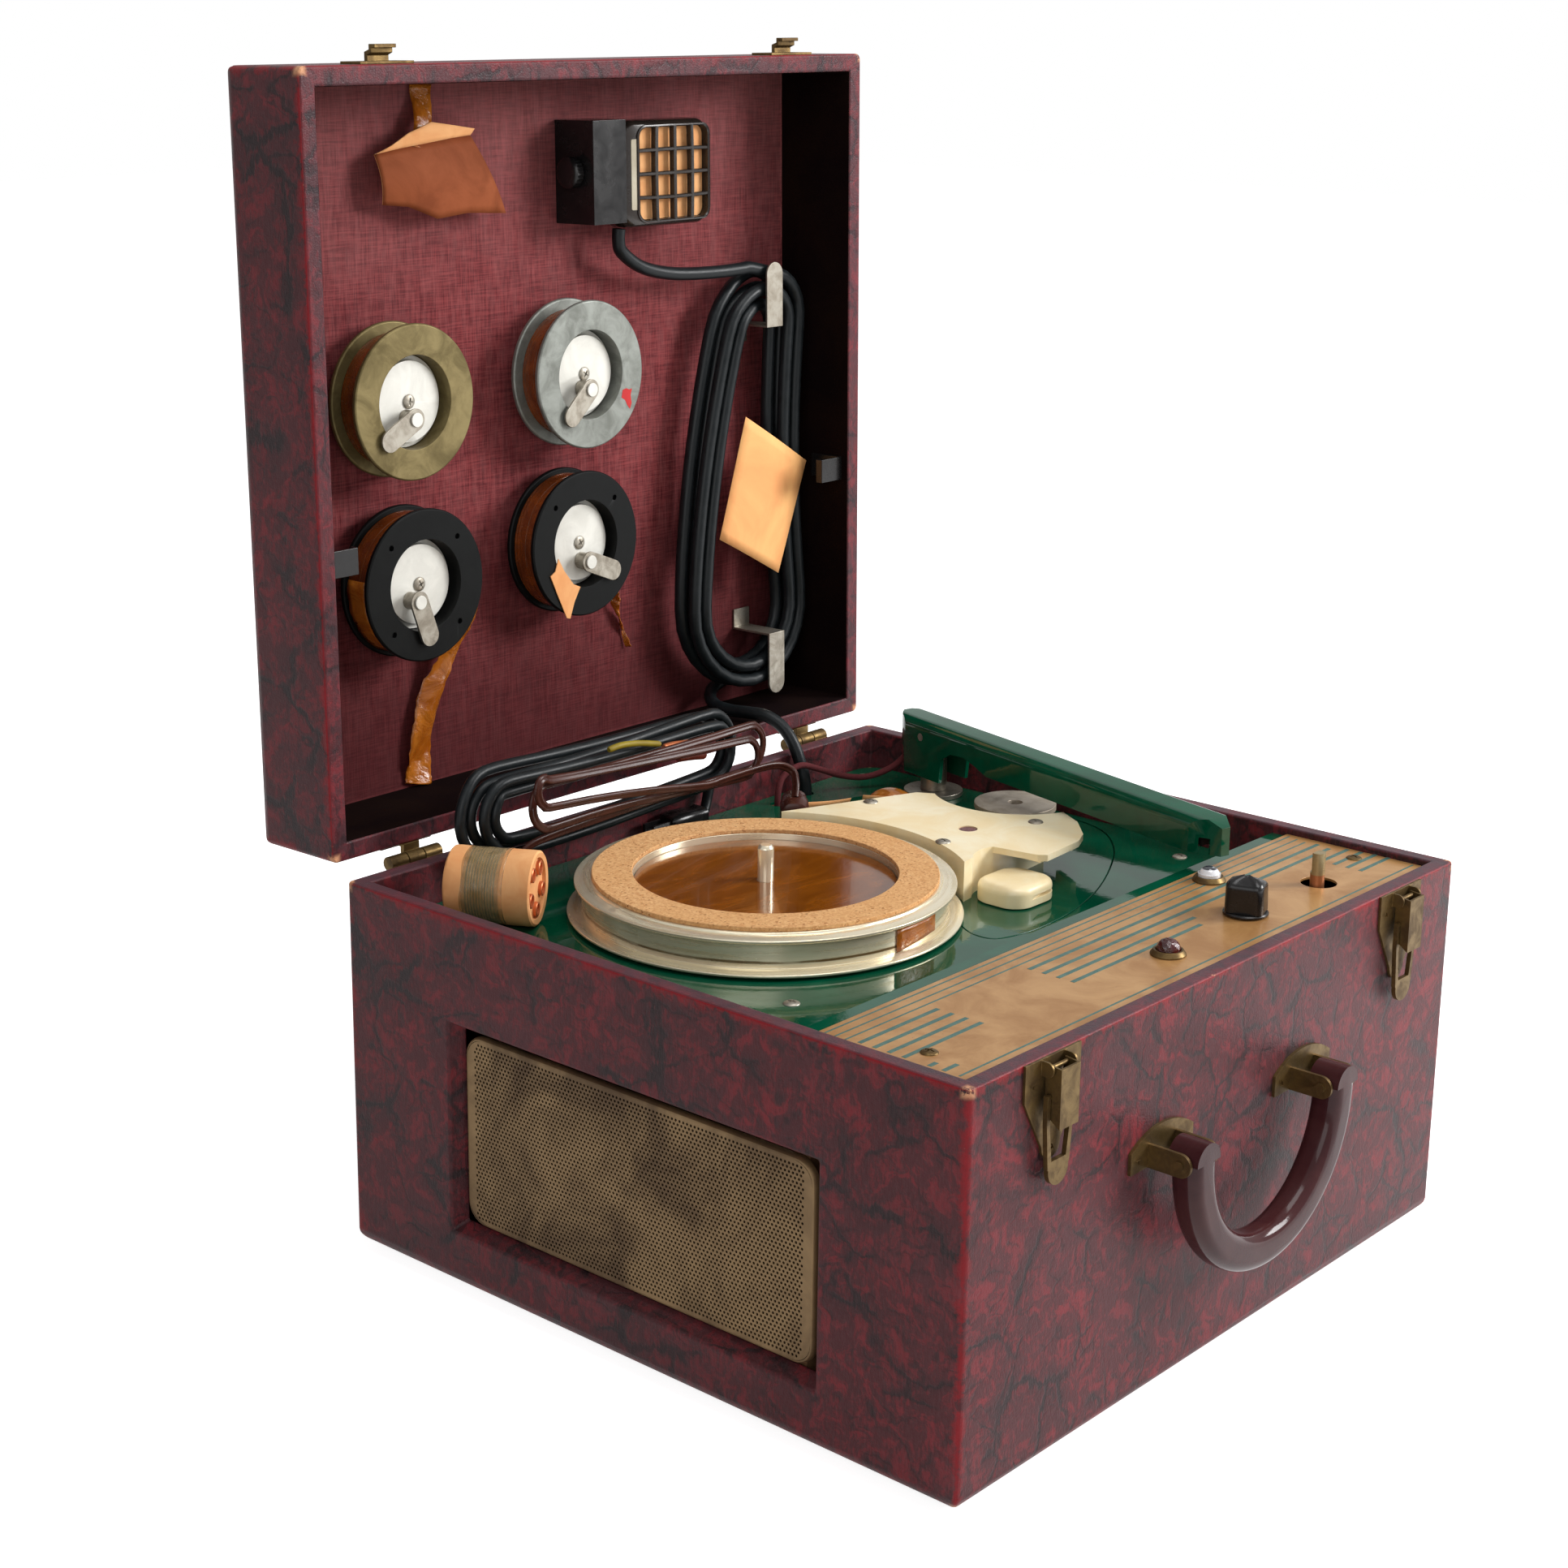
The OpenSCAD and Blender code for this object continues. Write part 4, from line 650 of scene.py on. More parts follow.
WORN = {
    "wood": Worn("bare_wood", ((120, 88, 58), (92, 62, 40), (60, 38, 24)),
                 gloss=(0.8, 0.1), marks=(60, 500, 0.3)),
    "enamel": Worn("green_enamel", ((2, 66, 44), (4, 80, 56), (60, 96, 76)),
                   gloss=(0.05, 0.03), marks=(30, 900, 0.12), grain=(300, 0.00003), specular=0.4),
    "ivory": Worn("aged_ivory", ((250, 238, 204), (242, 220, 172), (196, 140, 84)),
                  gloss=(0.3, 0.1), marks=(38, 240, 0.14), grain=(900, 0.00004), coat=0.2,
                  specular=0.4),
    "brass": Worn("tarnished_brass", ((116, 94, 56), (80, 62, 38), (164, 134, 84)),
                  gloss=(0.36, 0.2), marks=(120, 700, 0.3), grain=(2500, 0.00003), metallic=0.8),
    "grille": Worn("grille_brass", ((140, 114, 80), (88, 68, 48), (170, 148, 92)),
                   gloss=(0.45, 0.15), marks=(22, 300, 0.1), metallic=0.55),
    "steel": Worn("worn_steel", ((168, 162, 150), (128, 120, 108), (84, 68, 52)),
                  gloss=(0.34, 0.2), marks=(150, 800, 0.3), grain=(3000, 0.00003), metallic=0.85),
    "pewter": Worn("grey_disc", ((176, 164, 148), (146, 134, 118), (70, 58, 46)),
                   gloss=(0.4, 0.1), marks=(90, 700, 0.3), grain=(3000, 0.00003), metallic=0.35),
    "dark": Worn("dark_inside", ((20, 18, 18), (30, 26, 24), (40, 36, 32)),
                 gloss=(0.8, 0.1), specular=0.1),
    # Painted shade: the lid's inner walls are coloured near black for the shadow they lie in, with
    # pale dust specks.
    "wall": Worn("lid_walls_painted_shade", ((15, 7, 8), (24, 13, 10), (76, 50, 32)),
                 gloss=(0.85, 0.1), marks=(30, 260, 0.25), grain=(900, 0.0001), specular=0.03),
    "panel": Worn("gilt_panel", ((192, 146, 92), (160, 114, 66), (104, 74, 44)),
                  gloss=(0.3, 0.12), marks=(34, 420, 0.42), grain=(3000, 0.00003), metallic=0.25,
                  coat=0.1),
    "stripe": Worn("panel_stripes", ((76, 110, 100), (64, 98, 92), (160, 126, 80)),
                   gloss=(0.4, 0.1), marks=(160, 600, 0.5), metallic=0.1, coat=0.1),
    "bakelite": Worn("black_bakelite", ((20, 19, 20), (28, 26, 26), (70, 66, 62)),
                     gloss=(0.2, 0.1), marks=(90, 1100, 0.06), coat=0.05, specular=0.3),
    "handle": Worn("handle_plastic", ((58, 27, 30), (70, 38, 38), (110, 84, 80)),
                   gloss=(0.09, 0.05), marks=(40, 900, 0.05), grain=(900, 0.00002), specular=0.22),
    "rubber": Worn("black_rubber", ((18, 22, 24), (26, 30, 32), (60, 62, 60)),
                   gloss=(0.32, 0.12), marks=(120, 900, 0.1), grain=(2500, 0.00003), specular=0.2),
    "vinyl": Worn("brown_vinyl", ((54, 25, 19), (70, 34, 25), (200, 96, 36)),
                  gloss=(0.24, 0.1), marks=(60, 95, 0.2), specular=0.25),
    "reel_black": Worn("reel_black", ((10, 11, 11), (16, 17, 17), (52, 52, 50)),
                       gloss=(0.4, 0.1), marks=(80, 700, 0.08), grain=(3000, 0.00003),
                       metallic=0.05, specular=0.1),
    "reel_brass": Worn("reel_tarnish", ((126, 112, 74), (92, 80, 48), (176, 160, 110)),
                       gloss=(0.42, 0.2), marks=(60, 420, 0.3), grain=(3000, 0.00004),
                       metallic=0.6),
    "zinc": Worn("reel_zinc", ((136, 139, 133), (108, 110, 104), (112, 104, 66)),
                 gloss=(0.46, 0.15), marks=(90, 260, 0.3), grain=(3000, 0.00004), metallic=0.6),
    "alloy": Worn("brushed_alloy", ((226, 224, 216), (208, 206, 198), (150, 146, 138)),
                  gloss=(0.42, 0.1), marks=(60, 900, 0.2), grain=(3000, 0.00003), metallic=0.25),
    "mic": Worn("mic_shell", ((46, 38, 33), (36, 30, 27), (120, 106, 90)),
                gloss=(0.2, 0.1), marks=(70, 900, 0.06), grain=(3000, 0.00002), metallic=0.1,
                coat=0.2, specular=0.4),
    "peach": Worn("peach_card", ((240, 180, 122), (228, 158, 100), (168, 96, 52)),
                  gloss=(0.8, 0.05), marks=(60, 320, 0.2), grain=(2600, 0.00004)),
    "tag": Worn("orange_card", ((236, 162, 100), (246, 186, 118), (190, 116, 66)),
                gloss=(0.7, 0.05), marks=(25, 320, 0.15), grain=(2600, 0.00004)),
    "printed": Worn("brown_print", ((150, 80, 46), (126, 64, 36), (206, 150, 104)),
                    gloss=(0.66, 0.1), marks=(40, 200, 0.15), grain=(2600, 0.00003), specular=0.12),
    "winding": Worn("amber_winding", ((122, 58, 14), (84, 38, 10), (190, 110, 40)),
                    gloss=(0.22, 0.1), marks=(90, 300, 0.2), grain=(1800, 0.00008), coat=0.8),
    "red": Worn("red_button", ((104, 12, 14), (80, 10, 12), (40, 8, 8)),
                gloss=(0.15, 0.1), marks=(300, 900, 0.2), coat=0.1),
    "paint_red": Worn("red_mark", ((206, 34, 30), (176, 20, 22), (120, 90, 60)),
                      gloss=(0.5, 0.1)),
    "copper": Worn("bare_copper", ((214, 128, 84), (168, 90, 56), (90, 50, 34)),
                   gloss=(0.35, 0.1), metallic=0.6),
    "red_brown": Worn("red_brown_plastic", ((128, 48, 28), (104, 36, 22), (60, 26, 18)),
                      gloss=(0.3, 0.1)),
    "mustard": Worn("mustard_sleeve", ((150, 132, 24), (120, 100, 20), (80, 60, 20)),
                    gloss=(0.5, 0.1)),
    "label": Worn("bare_label", ((190, 182, 160), (170, 160, 138), (120, 104, 82)),
                  gloss=(0.5, 0.1)),
    "amber": Worn("polished_amber", ((150, 84, 26), (196, 122, 48), (96, 50, 16)),
                  gloss=(0.14, 0.08), marks=(70, 300, 0.1), grain=(900, 0.00002), coat=0.5),
}


class Finishes:
    """All materials by name, made once."""

    def __init__(self) -> None:
        """Builds every finish of the player."""
        lid_middle = LID_TO_ROW @ Vector((0, 0, 26.2 * MM)) / MM
        looks = {
            **WORN,
            "case": Leatherette("case_leatherette", (0, 0, RIM / 2), (HALF_W, HALF_D, RIM / 2)),
            "lid": Leatherette("lid_leatherette", lid_middle, (HALF_W, HALF_D, 25.8), -1.0, True,
                               0.12),
            "lining": Lining("lid_lining"),
            "cork": Cork("pressed_cork"),
            "nickel": TurnedNickel("drum_nickel", (*DRUM, 0)),
            "laminate": LaminateDisc("brown_laminate"),
            "eye": EyeGlass("eye_glass", (88, -99.5, 0)),
            "lead_cloth": Braid("arm_lead_braid", rgb(58, 20, 26), rgb(112, 52, 54)),
            "shaft": Split("control_shaft", rgb(170, 112, 76), rgb(166, 150, 112), PANEL_Z + 5),
            "film": Clear("amber_film", rgb(172, 88, 14), rgb(220, 134, 44), 0.35, 0.16),
            "jewel": Clear("red_glass", rgb(92, 2, 6), rgb(44, 1, 4), 0.3, 0.02, 1.6),
            "wrap": Clear("clear_wrap", rgb(232, 214, 176), rgb(196, 172, 120), 0.75, 0.12, 1.35),
        }
        effects = Effects()
        self.made = {key: look.make(effects) for key, look in looks.items()}

    def __getattr__(self, key: str) -> bpy.types.Material:
        """Returns a material by its short name."""
        return self.made[key]


# ---------------------------------------------------------------- meshes
def link(mesh: bpy.types.Mesh, name: str, *materials: bpy.types.Material) -> bpy.types.Object:
    """Puts a mesh into the scene as a named object with its materials."""
    obj = bpy.data.objects.new(name, mesh)
    mesh.name = name
    mesh.materials.clear()
    for material in materials:
        mesh.materials.append(material)
    bpy.context.scene.collection.objects.link(obj)
    return obj


def soften(mesh: bpy.types.Mesh, crease: float = 32.0) -> None:
    """Shades a mesh smooth but for creases sharper than an angle in degrees."""
    mesh.polygons.foreach_set("use_smooth", [True] * len(mesh.polygons))
    mesh.set_sharp_from_angle(angle=math.radians(crease))


def from_bmesh(bm: bmesh.types.BMesh, name: str, *materials: bpy.types.Material,
               crease: float = 32.0, matrix: Optional[Matrix] = None) -> bpy.types.Object:
    """Makes a finished object from a bmesh drawn in metres.

    Args:
        bm: the mesh, freed here.
        name: name of the piece.
        materials: finishes of its faces.
        crease: angle in degrees past which an edge stays sharp.
        matrix: where the drawing goes in the row frame.

    Returns:
        The new object at the origin.
    """
    bmesh.ops.recalc_face_normals(bm, faces=bm.faces)
    if matrix is not None:
        bmesh.ops.transform(bm, matrix=matrix, verts=bm.verts)
    mesh = bpy.data.meshes.new(name)
    bm.to_mesh(mesh)
    bm.free()
    soften(mesh, crease)
    return link(mesh, name, *materials)


def loft(bm: bmesh.types.BMesh, loops: Sequence[Sequence[Vector]], cap_start: bool = True,
         cap_end: bool = True) -> None:
    """Joins closed loops of equal length, with a face over the first and over the last."""
    rings = [[bm.verts.new(p) for p in loop] for loop in loops]
    size = len(rings[0])
    for a, b in zip(rings, rings[1:]):
        for k in range(size):
            bm.faces.new((a[k], a[(k + 1) % size], b[(k + 1) % size], b[k]))
    if cap_start:
        bm.faces.new(rings[0])
    if cap_end:
        bm.faces.new(list(reversed(rings[-1])))


def sweep(bm: bmesh.types.BMesh, path: Sequence[Vector],
          outline: Callable[[int], Sequence[Point]]) -> None:
    """Sweeps an outline along a path without twist.

    Args:
        bm: mesh that receives the faces.
        path: points in metres.
        outline: flat points in metres for each step of the path.
    """
    last = len(path) - 1
    ways = [(path[min(i + 1, last)] - path[max(i - 1, 0)]).normalized() for i in range(last + 1)]
    side = Vector((0, 0, 1)) if abs(ways[0].z) < 0.9 else Vector((1, 0, 0))
    loops = []
    for i, (place, way) in enumerate(zip(path, ways)):
        side = (side - way * side.dot(way)).normalized()
        other = way.cross(side)
        loops.append([place + side * p[0] + other * p[1] for p in outline(i)])
    loft(bm, loops)


def circle(radius: float, sides: int, turn: float = 0.0) -> list:
    """Returns a circle of flat points, the first of them turned by an angle in radians."""
    angles = [2 * math.pi * k / sides + turn for k in range(sides)]
    return [(radius * math.cos(a), radius * math.sin(a)) for a in angles]


def rounded(width: float, depth: float, radius: float, steps: int = 6) -> list:
    """Returns the points of a rectangle with round corners, anticlockwise."""
    points = []
    for k, (sx, sy) in enumerate(((1, 1), (-1, 1), (-1, -1), (1, -1))):
        for i in range(steps + 1):
            a = math.radians(90 * (k + i / steps))
            points.append((sx * (width / 2 - radius) + radius * math.cos(a),
                           sy * (depth / 2 - radius) + radius * math.sin(a)))
    return points


def lathe(bm: bmesh.types.BMesh, profile: Sequence[Point], steps: int,
          at: Point = (0, 0, 0)) -> None:
    """Turns a closed profile round the Z axis.

    Args:
        bm: mesh that receives the faces.
        profile: radius and height of each point in millimetres.
        steps: sides of the turned shape.
        at: where the axis starts, in millimetres.
    """
    rings = []
    for x, y in circle(1.0, steps):
        rings.append([bm.verts.new(((at[0] + r * x) * MM, (at[1] + r * y) * MM, (at[2] + z) * MM))
                      for r, z in profile])
    size = len(profile)
    for i in range(steps):
        a, b = rings[i], rings[(i + 1) % steps]
        for k in range(size):
            bm.faces.new((a[k], b[k], b[(k + 1) % size], a[(k + 1) % size]))
    bmesh.ops.remove_doubles(bm, verts=bm.verts, dist=WELD)


def patch(name: str, material: bpy.types.Material, grid: Sequence[Sequence[Vector]], thick: float,
          back: Optional[bpy.types.Material] = None) -> bpy.types.Object:
    """Makes a thin curved sheet.

    Args:
        name: name of the piece.
        material: its finish.
        grid: rows of points in metres.
        thick: its thickness in millimetres.
        back: finish of its other side, if that differs.

    Returns:
        The new object.
    """
    bm = bmesh.new()
    rows = [[bm.verts.new(p) for p in row] for row in grid]
    for a, b in zip(rows, rows[1:]):
        for k in range(len(a) - 1):
            bm.faces.new((a[k], a[k + 1], b[k + 1], b[k]))
    mesh = bpy.data.meshes.new(name)
    bm.to_mesh(mesh)
    bm.free()
    soften(mesh, 50.0)
    obj = link(mesh, name, material, *([back] if back else []))
    shell = obj.modifiers.new("thickness", "SOLIDIFY")
    shell.thickness = thick * MM
    shell.offset = 0
    if back:
        shell.material_offset = 1
    return obj


# ---------------------------------------------------------------- repeated pieces
class Repeats:
    """Geometry Nodes trees for what repeats, each with named inputs."""

    @staticmethod
    def start(name: str, inputs: dict) -> tuple:
        """Starts a geometry tree with a Geometry and a Material input besides its own."""
        inputs = {"Geometry": "Geometry", **inputs, "Material": "Material"}
        return start_tree(name, "Geometry", inputs, ("Geometry",))

    @staticmethod
    def close(g: Graph, s: Sequence[bpy.types.NodeSocket], end: bpy.types.Node,
              shape: bpy.types.NodeSocket) -> None:
        """Ends a tree in Realize Instances and Set Material."""
        real = g.add("GeometryNodeRealizeInstances", {"Geometry": shape})
        coated = g.add("GeometryNodeSetMaterial",
                       {"Geometry": real.outputs[0], "Material": s["Material"]})
        g.feed(end.inputs["Geometry"], coated.outputs[0])

    def grow(self, name: str, tree: bpy.types.NodeTree, material: bpy.types.Material, values: dict,
             points: Sequence[Point] = (), matrix: Optional[Matrix] = None,
             crease: float = 32.0) -> bpy.types.Object:
        """Runs a tree and returns its result as a plain mesh.

        Args:
            name: name of the piece.
            tree: the geometry tree.
            material: its finish.
            values: input values by input name.
            points: places in millimetres that become the incoming vertices.
            matrix: where the result goes in the row frame.
            crease: angle in degrees past which an edge stays sharp.

        Returns:
            The new object at the origin.
        """
        seed = bpy.data.meshes.new(name + "_points")
        seed.from_pydata([tuple(v * MM for v in p) for p in points], [], [])
        carrier = link(seed, name + "_carrier")
        modifier = carrier.modifiers.new("grow", "NODES")
        modifier.node_group = tree
        given = {**values, "Material": material}
        for item in tree.interface.items_tree:
            if item.item_type == "SOCKET" and item.in_out == "INPUT" and item.name in given:
                modifier[item.identifier] = given[item.name]
        bpy.context.view_layer.update()
        grown = carrier.evaluated_get(bpy.context.evaluated_depsgraph_get())
        mesh = bpy.data.meshes.new_from_object(grown)
        bpy.data.objects.remove(carrier)
        if matrix is not None:
            mesh.transform(matrix)
        soften(mesh, crease)
        return link(mesh, name, material)

    def perforated(self) -> bpy.types.NodeTree:
        """Returns a tree for a rounded sheet with staggered round holes."""
        tree, g, s, end = self.start("Perforated Sheet", {
            "Width": 0.19, "Height": 0.08, "Corner": 0.008, "Pitch": 0.002, "Hole": 0.0006,
            "Thickness": 0.0005})
        frame_curve = g.add("GeometryNodeCurvePrimitiveQuadrilateral",
                            {"Width": s["Width"], "Height": s["Height"]})
        soft = g.add("GeometryNodeFilletCurve",
                     {"Curve": frame_curve.outputs[0], "Radius": s["Corner"], "Count": 6},
                     mode="POLY")
        rise = g.math("MULTIPLY", s["Pitch"], 0.866)  # rows of an even triangle pattern
        columns = g.math("FLOOR",
                         g.math("DIVIDE", g.math("SUBTRACT", s["Width"], s["Corner"]), s["Pitch"]))
        tall = g.math("SUBTRACT", s["Height"], g.math("MULTIPLY", s["Corner"], 0.4))
        rows = g.math("FLOOR", g.math("DIVIDE", tall, rise))
        grid = g.add("GeometryNodeMeshGrid", {"Size X": g.math("MULTIPLY", columns, s["Pitch"]),
                                              "Size Y": g.math("MULTIPLY", rows, rise),
                                              "Vertices X": g.math("ADD", columns, 1.0),
                                              "Vertices Y": g.math("ADD", rows, 1.0)})
        parts = g.parts(g.add("GeometryNodeInputPosition").outputs[0])
        row = g.math("ROUND", g.math("DIVIDE", g.math("ADD", parts[1], 1.0), rise))
        odd = g.math("MODULO", row, 2.0)
        shift = g.math("MULTIPLY", g.math("SUBTRACT", odd, 0.5),
                       g.math("MULTIPLY", s["Pitch"], 0.5))
        moved = g.add("GeometryNodeSetPosition",
                      {"Geometry": grid.outputs[0], "Offset": g.xyz(shift)})
        # Holes stay clear of the rounded corners
        squares = []
        for part, size in zip(parts, ("Width", "Height")):
            reach = g.math("SUBTRACT", g.math("MULTIPLY", s[size], 0.5), s["Corner"])
            past = g.math("MAXIMUM", g.math("SUBTRACT", g.math("ABSOLUTE", part), reach), 0.0)
            squares.append(g.math("MULTIPLY", past, past))
        away = g.math("SQRT", g.math("ADD", *squares))
        limit = g.math("SUBTRACT", s["Corner"], g.math("MULTIPLY", s["Hole"], 1.7))
        keep = g.add("FunctionNodeCompare", {0: away, 1: limit}, operation="LESS_THAN")
        hole = g.add("GeometryNodeCurvePrimitiveCircle", {"Resolution": 8, "Radius": s["Hole"]})
        holes = g.add("GeometryNodeInstanceOnPoints",
                      {"Points": moved.outputs[0], "Selection": keep.outputs[0],
                       "Instance": hole.outputs[0]})
        both = g.add("GeometryNodeJoinGeometry", {0: soft.outputs[0]})
        g.feed(both.inputs[0],
               g.add("GeometryNodeRealizeInstances", {"Geometry": holes.outputs[0]}).outputs[0])
        filled = g.add("GeometryNodeFillCurve", {"Curve": both.outputs[0]})
        neighbours = g.add("GeometryNodeInputMeshEdgeNeighbors").outputs[0]
        border = g.add("FunctionNodeCompare", {2: neighbours, 3: 1}, data_type="INT",
                       operation="EQUAL")
        walls = g.add("GeometryNodeExtrudeMesh", {
            "Mesh": filled.outputs[0], "Selection": border.outputs[0],
            "Offset": g.xyz(z=g.math("MULTIPLY", s["Thickness"], -1.0)), "Offset Scale": 1.0},
                      mode="EDGES")
        self.close(g, s, end, walls.outputs[0])
        return tree

    def screws(self) -> bpy.types.NodeTree:
        """Returns a tree that sets a slotted or plain domed head on every incoming point."""
        tree, g, s, end = self.start(
            "Fastener Heads", {"Radius": 0.0036, "Rise": 0.0012, "Slot": 0.0008, "Spin": 0.4})
        ball = g.add("GeometryNodeMeshUVSphere", {"Segments": 28, "Rings": 24, "Radius": 1.0})
        lens = g.add("GeometryNodeTransform", {"Geometry": ball.outputs[0],
                                               "Scale": g.xyz(s["Radius"], s["Radius"], s["Rise"])})
        slot = g.xyz(g.math("MULTIPLY", s["Radius"], 1.15), s["Slot"],
                     g.math("MULTIPLY", s["Rise"], 0.9))
        bar = g.add("GeometryNodeMeshCube", {"Size": slot})
        cut = g.add("GeometryNodeMeshBoolean", {0: lens.outputs[0]}, operation="DIFFERENCE")
        for turn in (0.0, math.pi / 2):
            arm = g.add("GeometryNodeTransform",
                        {"Geometry": bar.outputs[0], "Rotation": (0, 0, turn),
                         "Translation": g.xyz(z=s["Rise"])})
            g.feed(cut.inputs[1], arm.outputs[0])
        turned = g.add("FunctionNodeRandomValue", {2: 0.0, 3: 1.5, 8: 7}, data_type="FLOAT")
        spin = g.xyz(z=g.math("ADD", turned.outputs[1], s["Spin"]))
        heads = g.add("GeometryNodeInstanceOnPoints",
                      {"Points": s["Geometry"], "Instance": cut.outputs[0], "Rotation": spin})
        self.close(g, s, end, heads.outputs[0])
        return tree

    def stripes(self) -> bpy.types.NodeTree:
        """Returns a tree for a stack of printed stripes that shorten one after another."""
        tree, g, s, end = self.start("Stripe Stack", {
            "Count": 6, "Pitch": 0.005, "Length": 0.2, "Change": -0.01, "Width": 0.0012,
            "Depth": 0.00008})
        line = g.add("GeometryNodeMeshLine", {"Count": s["Count"], "Start Location": (0, 0, 0),
                                              "Offset": g.xyz(y=s["Pitch"])})
        number = g.add("GeometryNodeInputIndex").outputs[0]
        long = g.math("MULTIPLY_ADD", number, s["Change"], s["Length"])
        bar = g.add("GeometryNodeMeshCube", {"Size": (1, 1, 1)})
        based = g.add("GeometryNodeTransform",
                      {"Geometry": bar.outputs[0], "Translation": (0.5, 0, 0)})
        bars = g.add("GeometryNodeInstanceOnPoints",
                     {"Points": line.outputs[0], "Instance": based.outputs[0],
                      "Scale": g.xyz(long, s["Width"], s["Depth"])})
        self.close(g, s, end, bars.outputs[0])
        return tree

    def rings(self) -> bpy.types.NodeTree:
        """Returns a tree for windings: rings of strand stacked along Z."""
        tree, g, s, end = self.start("Stacked Rings", {
            "Count": 12, "Pitch": 0.001, "Radius": 0.03, "Strand": 0.0006, "Wobble": 0.0004})
        line = g.add("GeometryNodeMeshLine", {"Count": s["Count"], "Start Location": (0, 0, 0),
                                              "Offset": g.xyz(z=s["Pitch"])})
        chance = g.add("FunctionNodeRandomValue", {2: -1.0, 3: 1.0, 8: 3},
                       data_type="FLOAT").outputs[1]
        radius = g.math("MULTIPLY_ADD", chance, s["Wobble"], s["Radius"])
        ring = g.add("GeometryNodeCurvePrimitiveCircle", {"Resolution": 56, "Radius": 1.0})
        placed = g.add("GeometryNodeInstanceOnPoints",
                       {"Points": line.outputs[0], "Instance": ring.outputs[0],
                        "Scale": g.xyz(radius, radius, 1.0)})
        real = g.add("GeometryNodeRealizeInstances", {"Geometry": placed.outputs[0]})
        strand = g.add("GeometryNodeCurvePrimitiveCircle", {"Resolution": 6, "Radius": s["Strand"]})
        solid = g.add("GeometryNodeCurveToMesh", {0: real.outputs[0], 1: strand.outputs[0]})
        self.close(g, s, end, solid.outputs[0])
        return tree


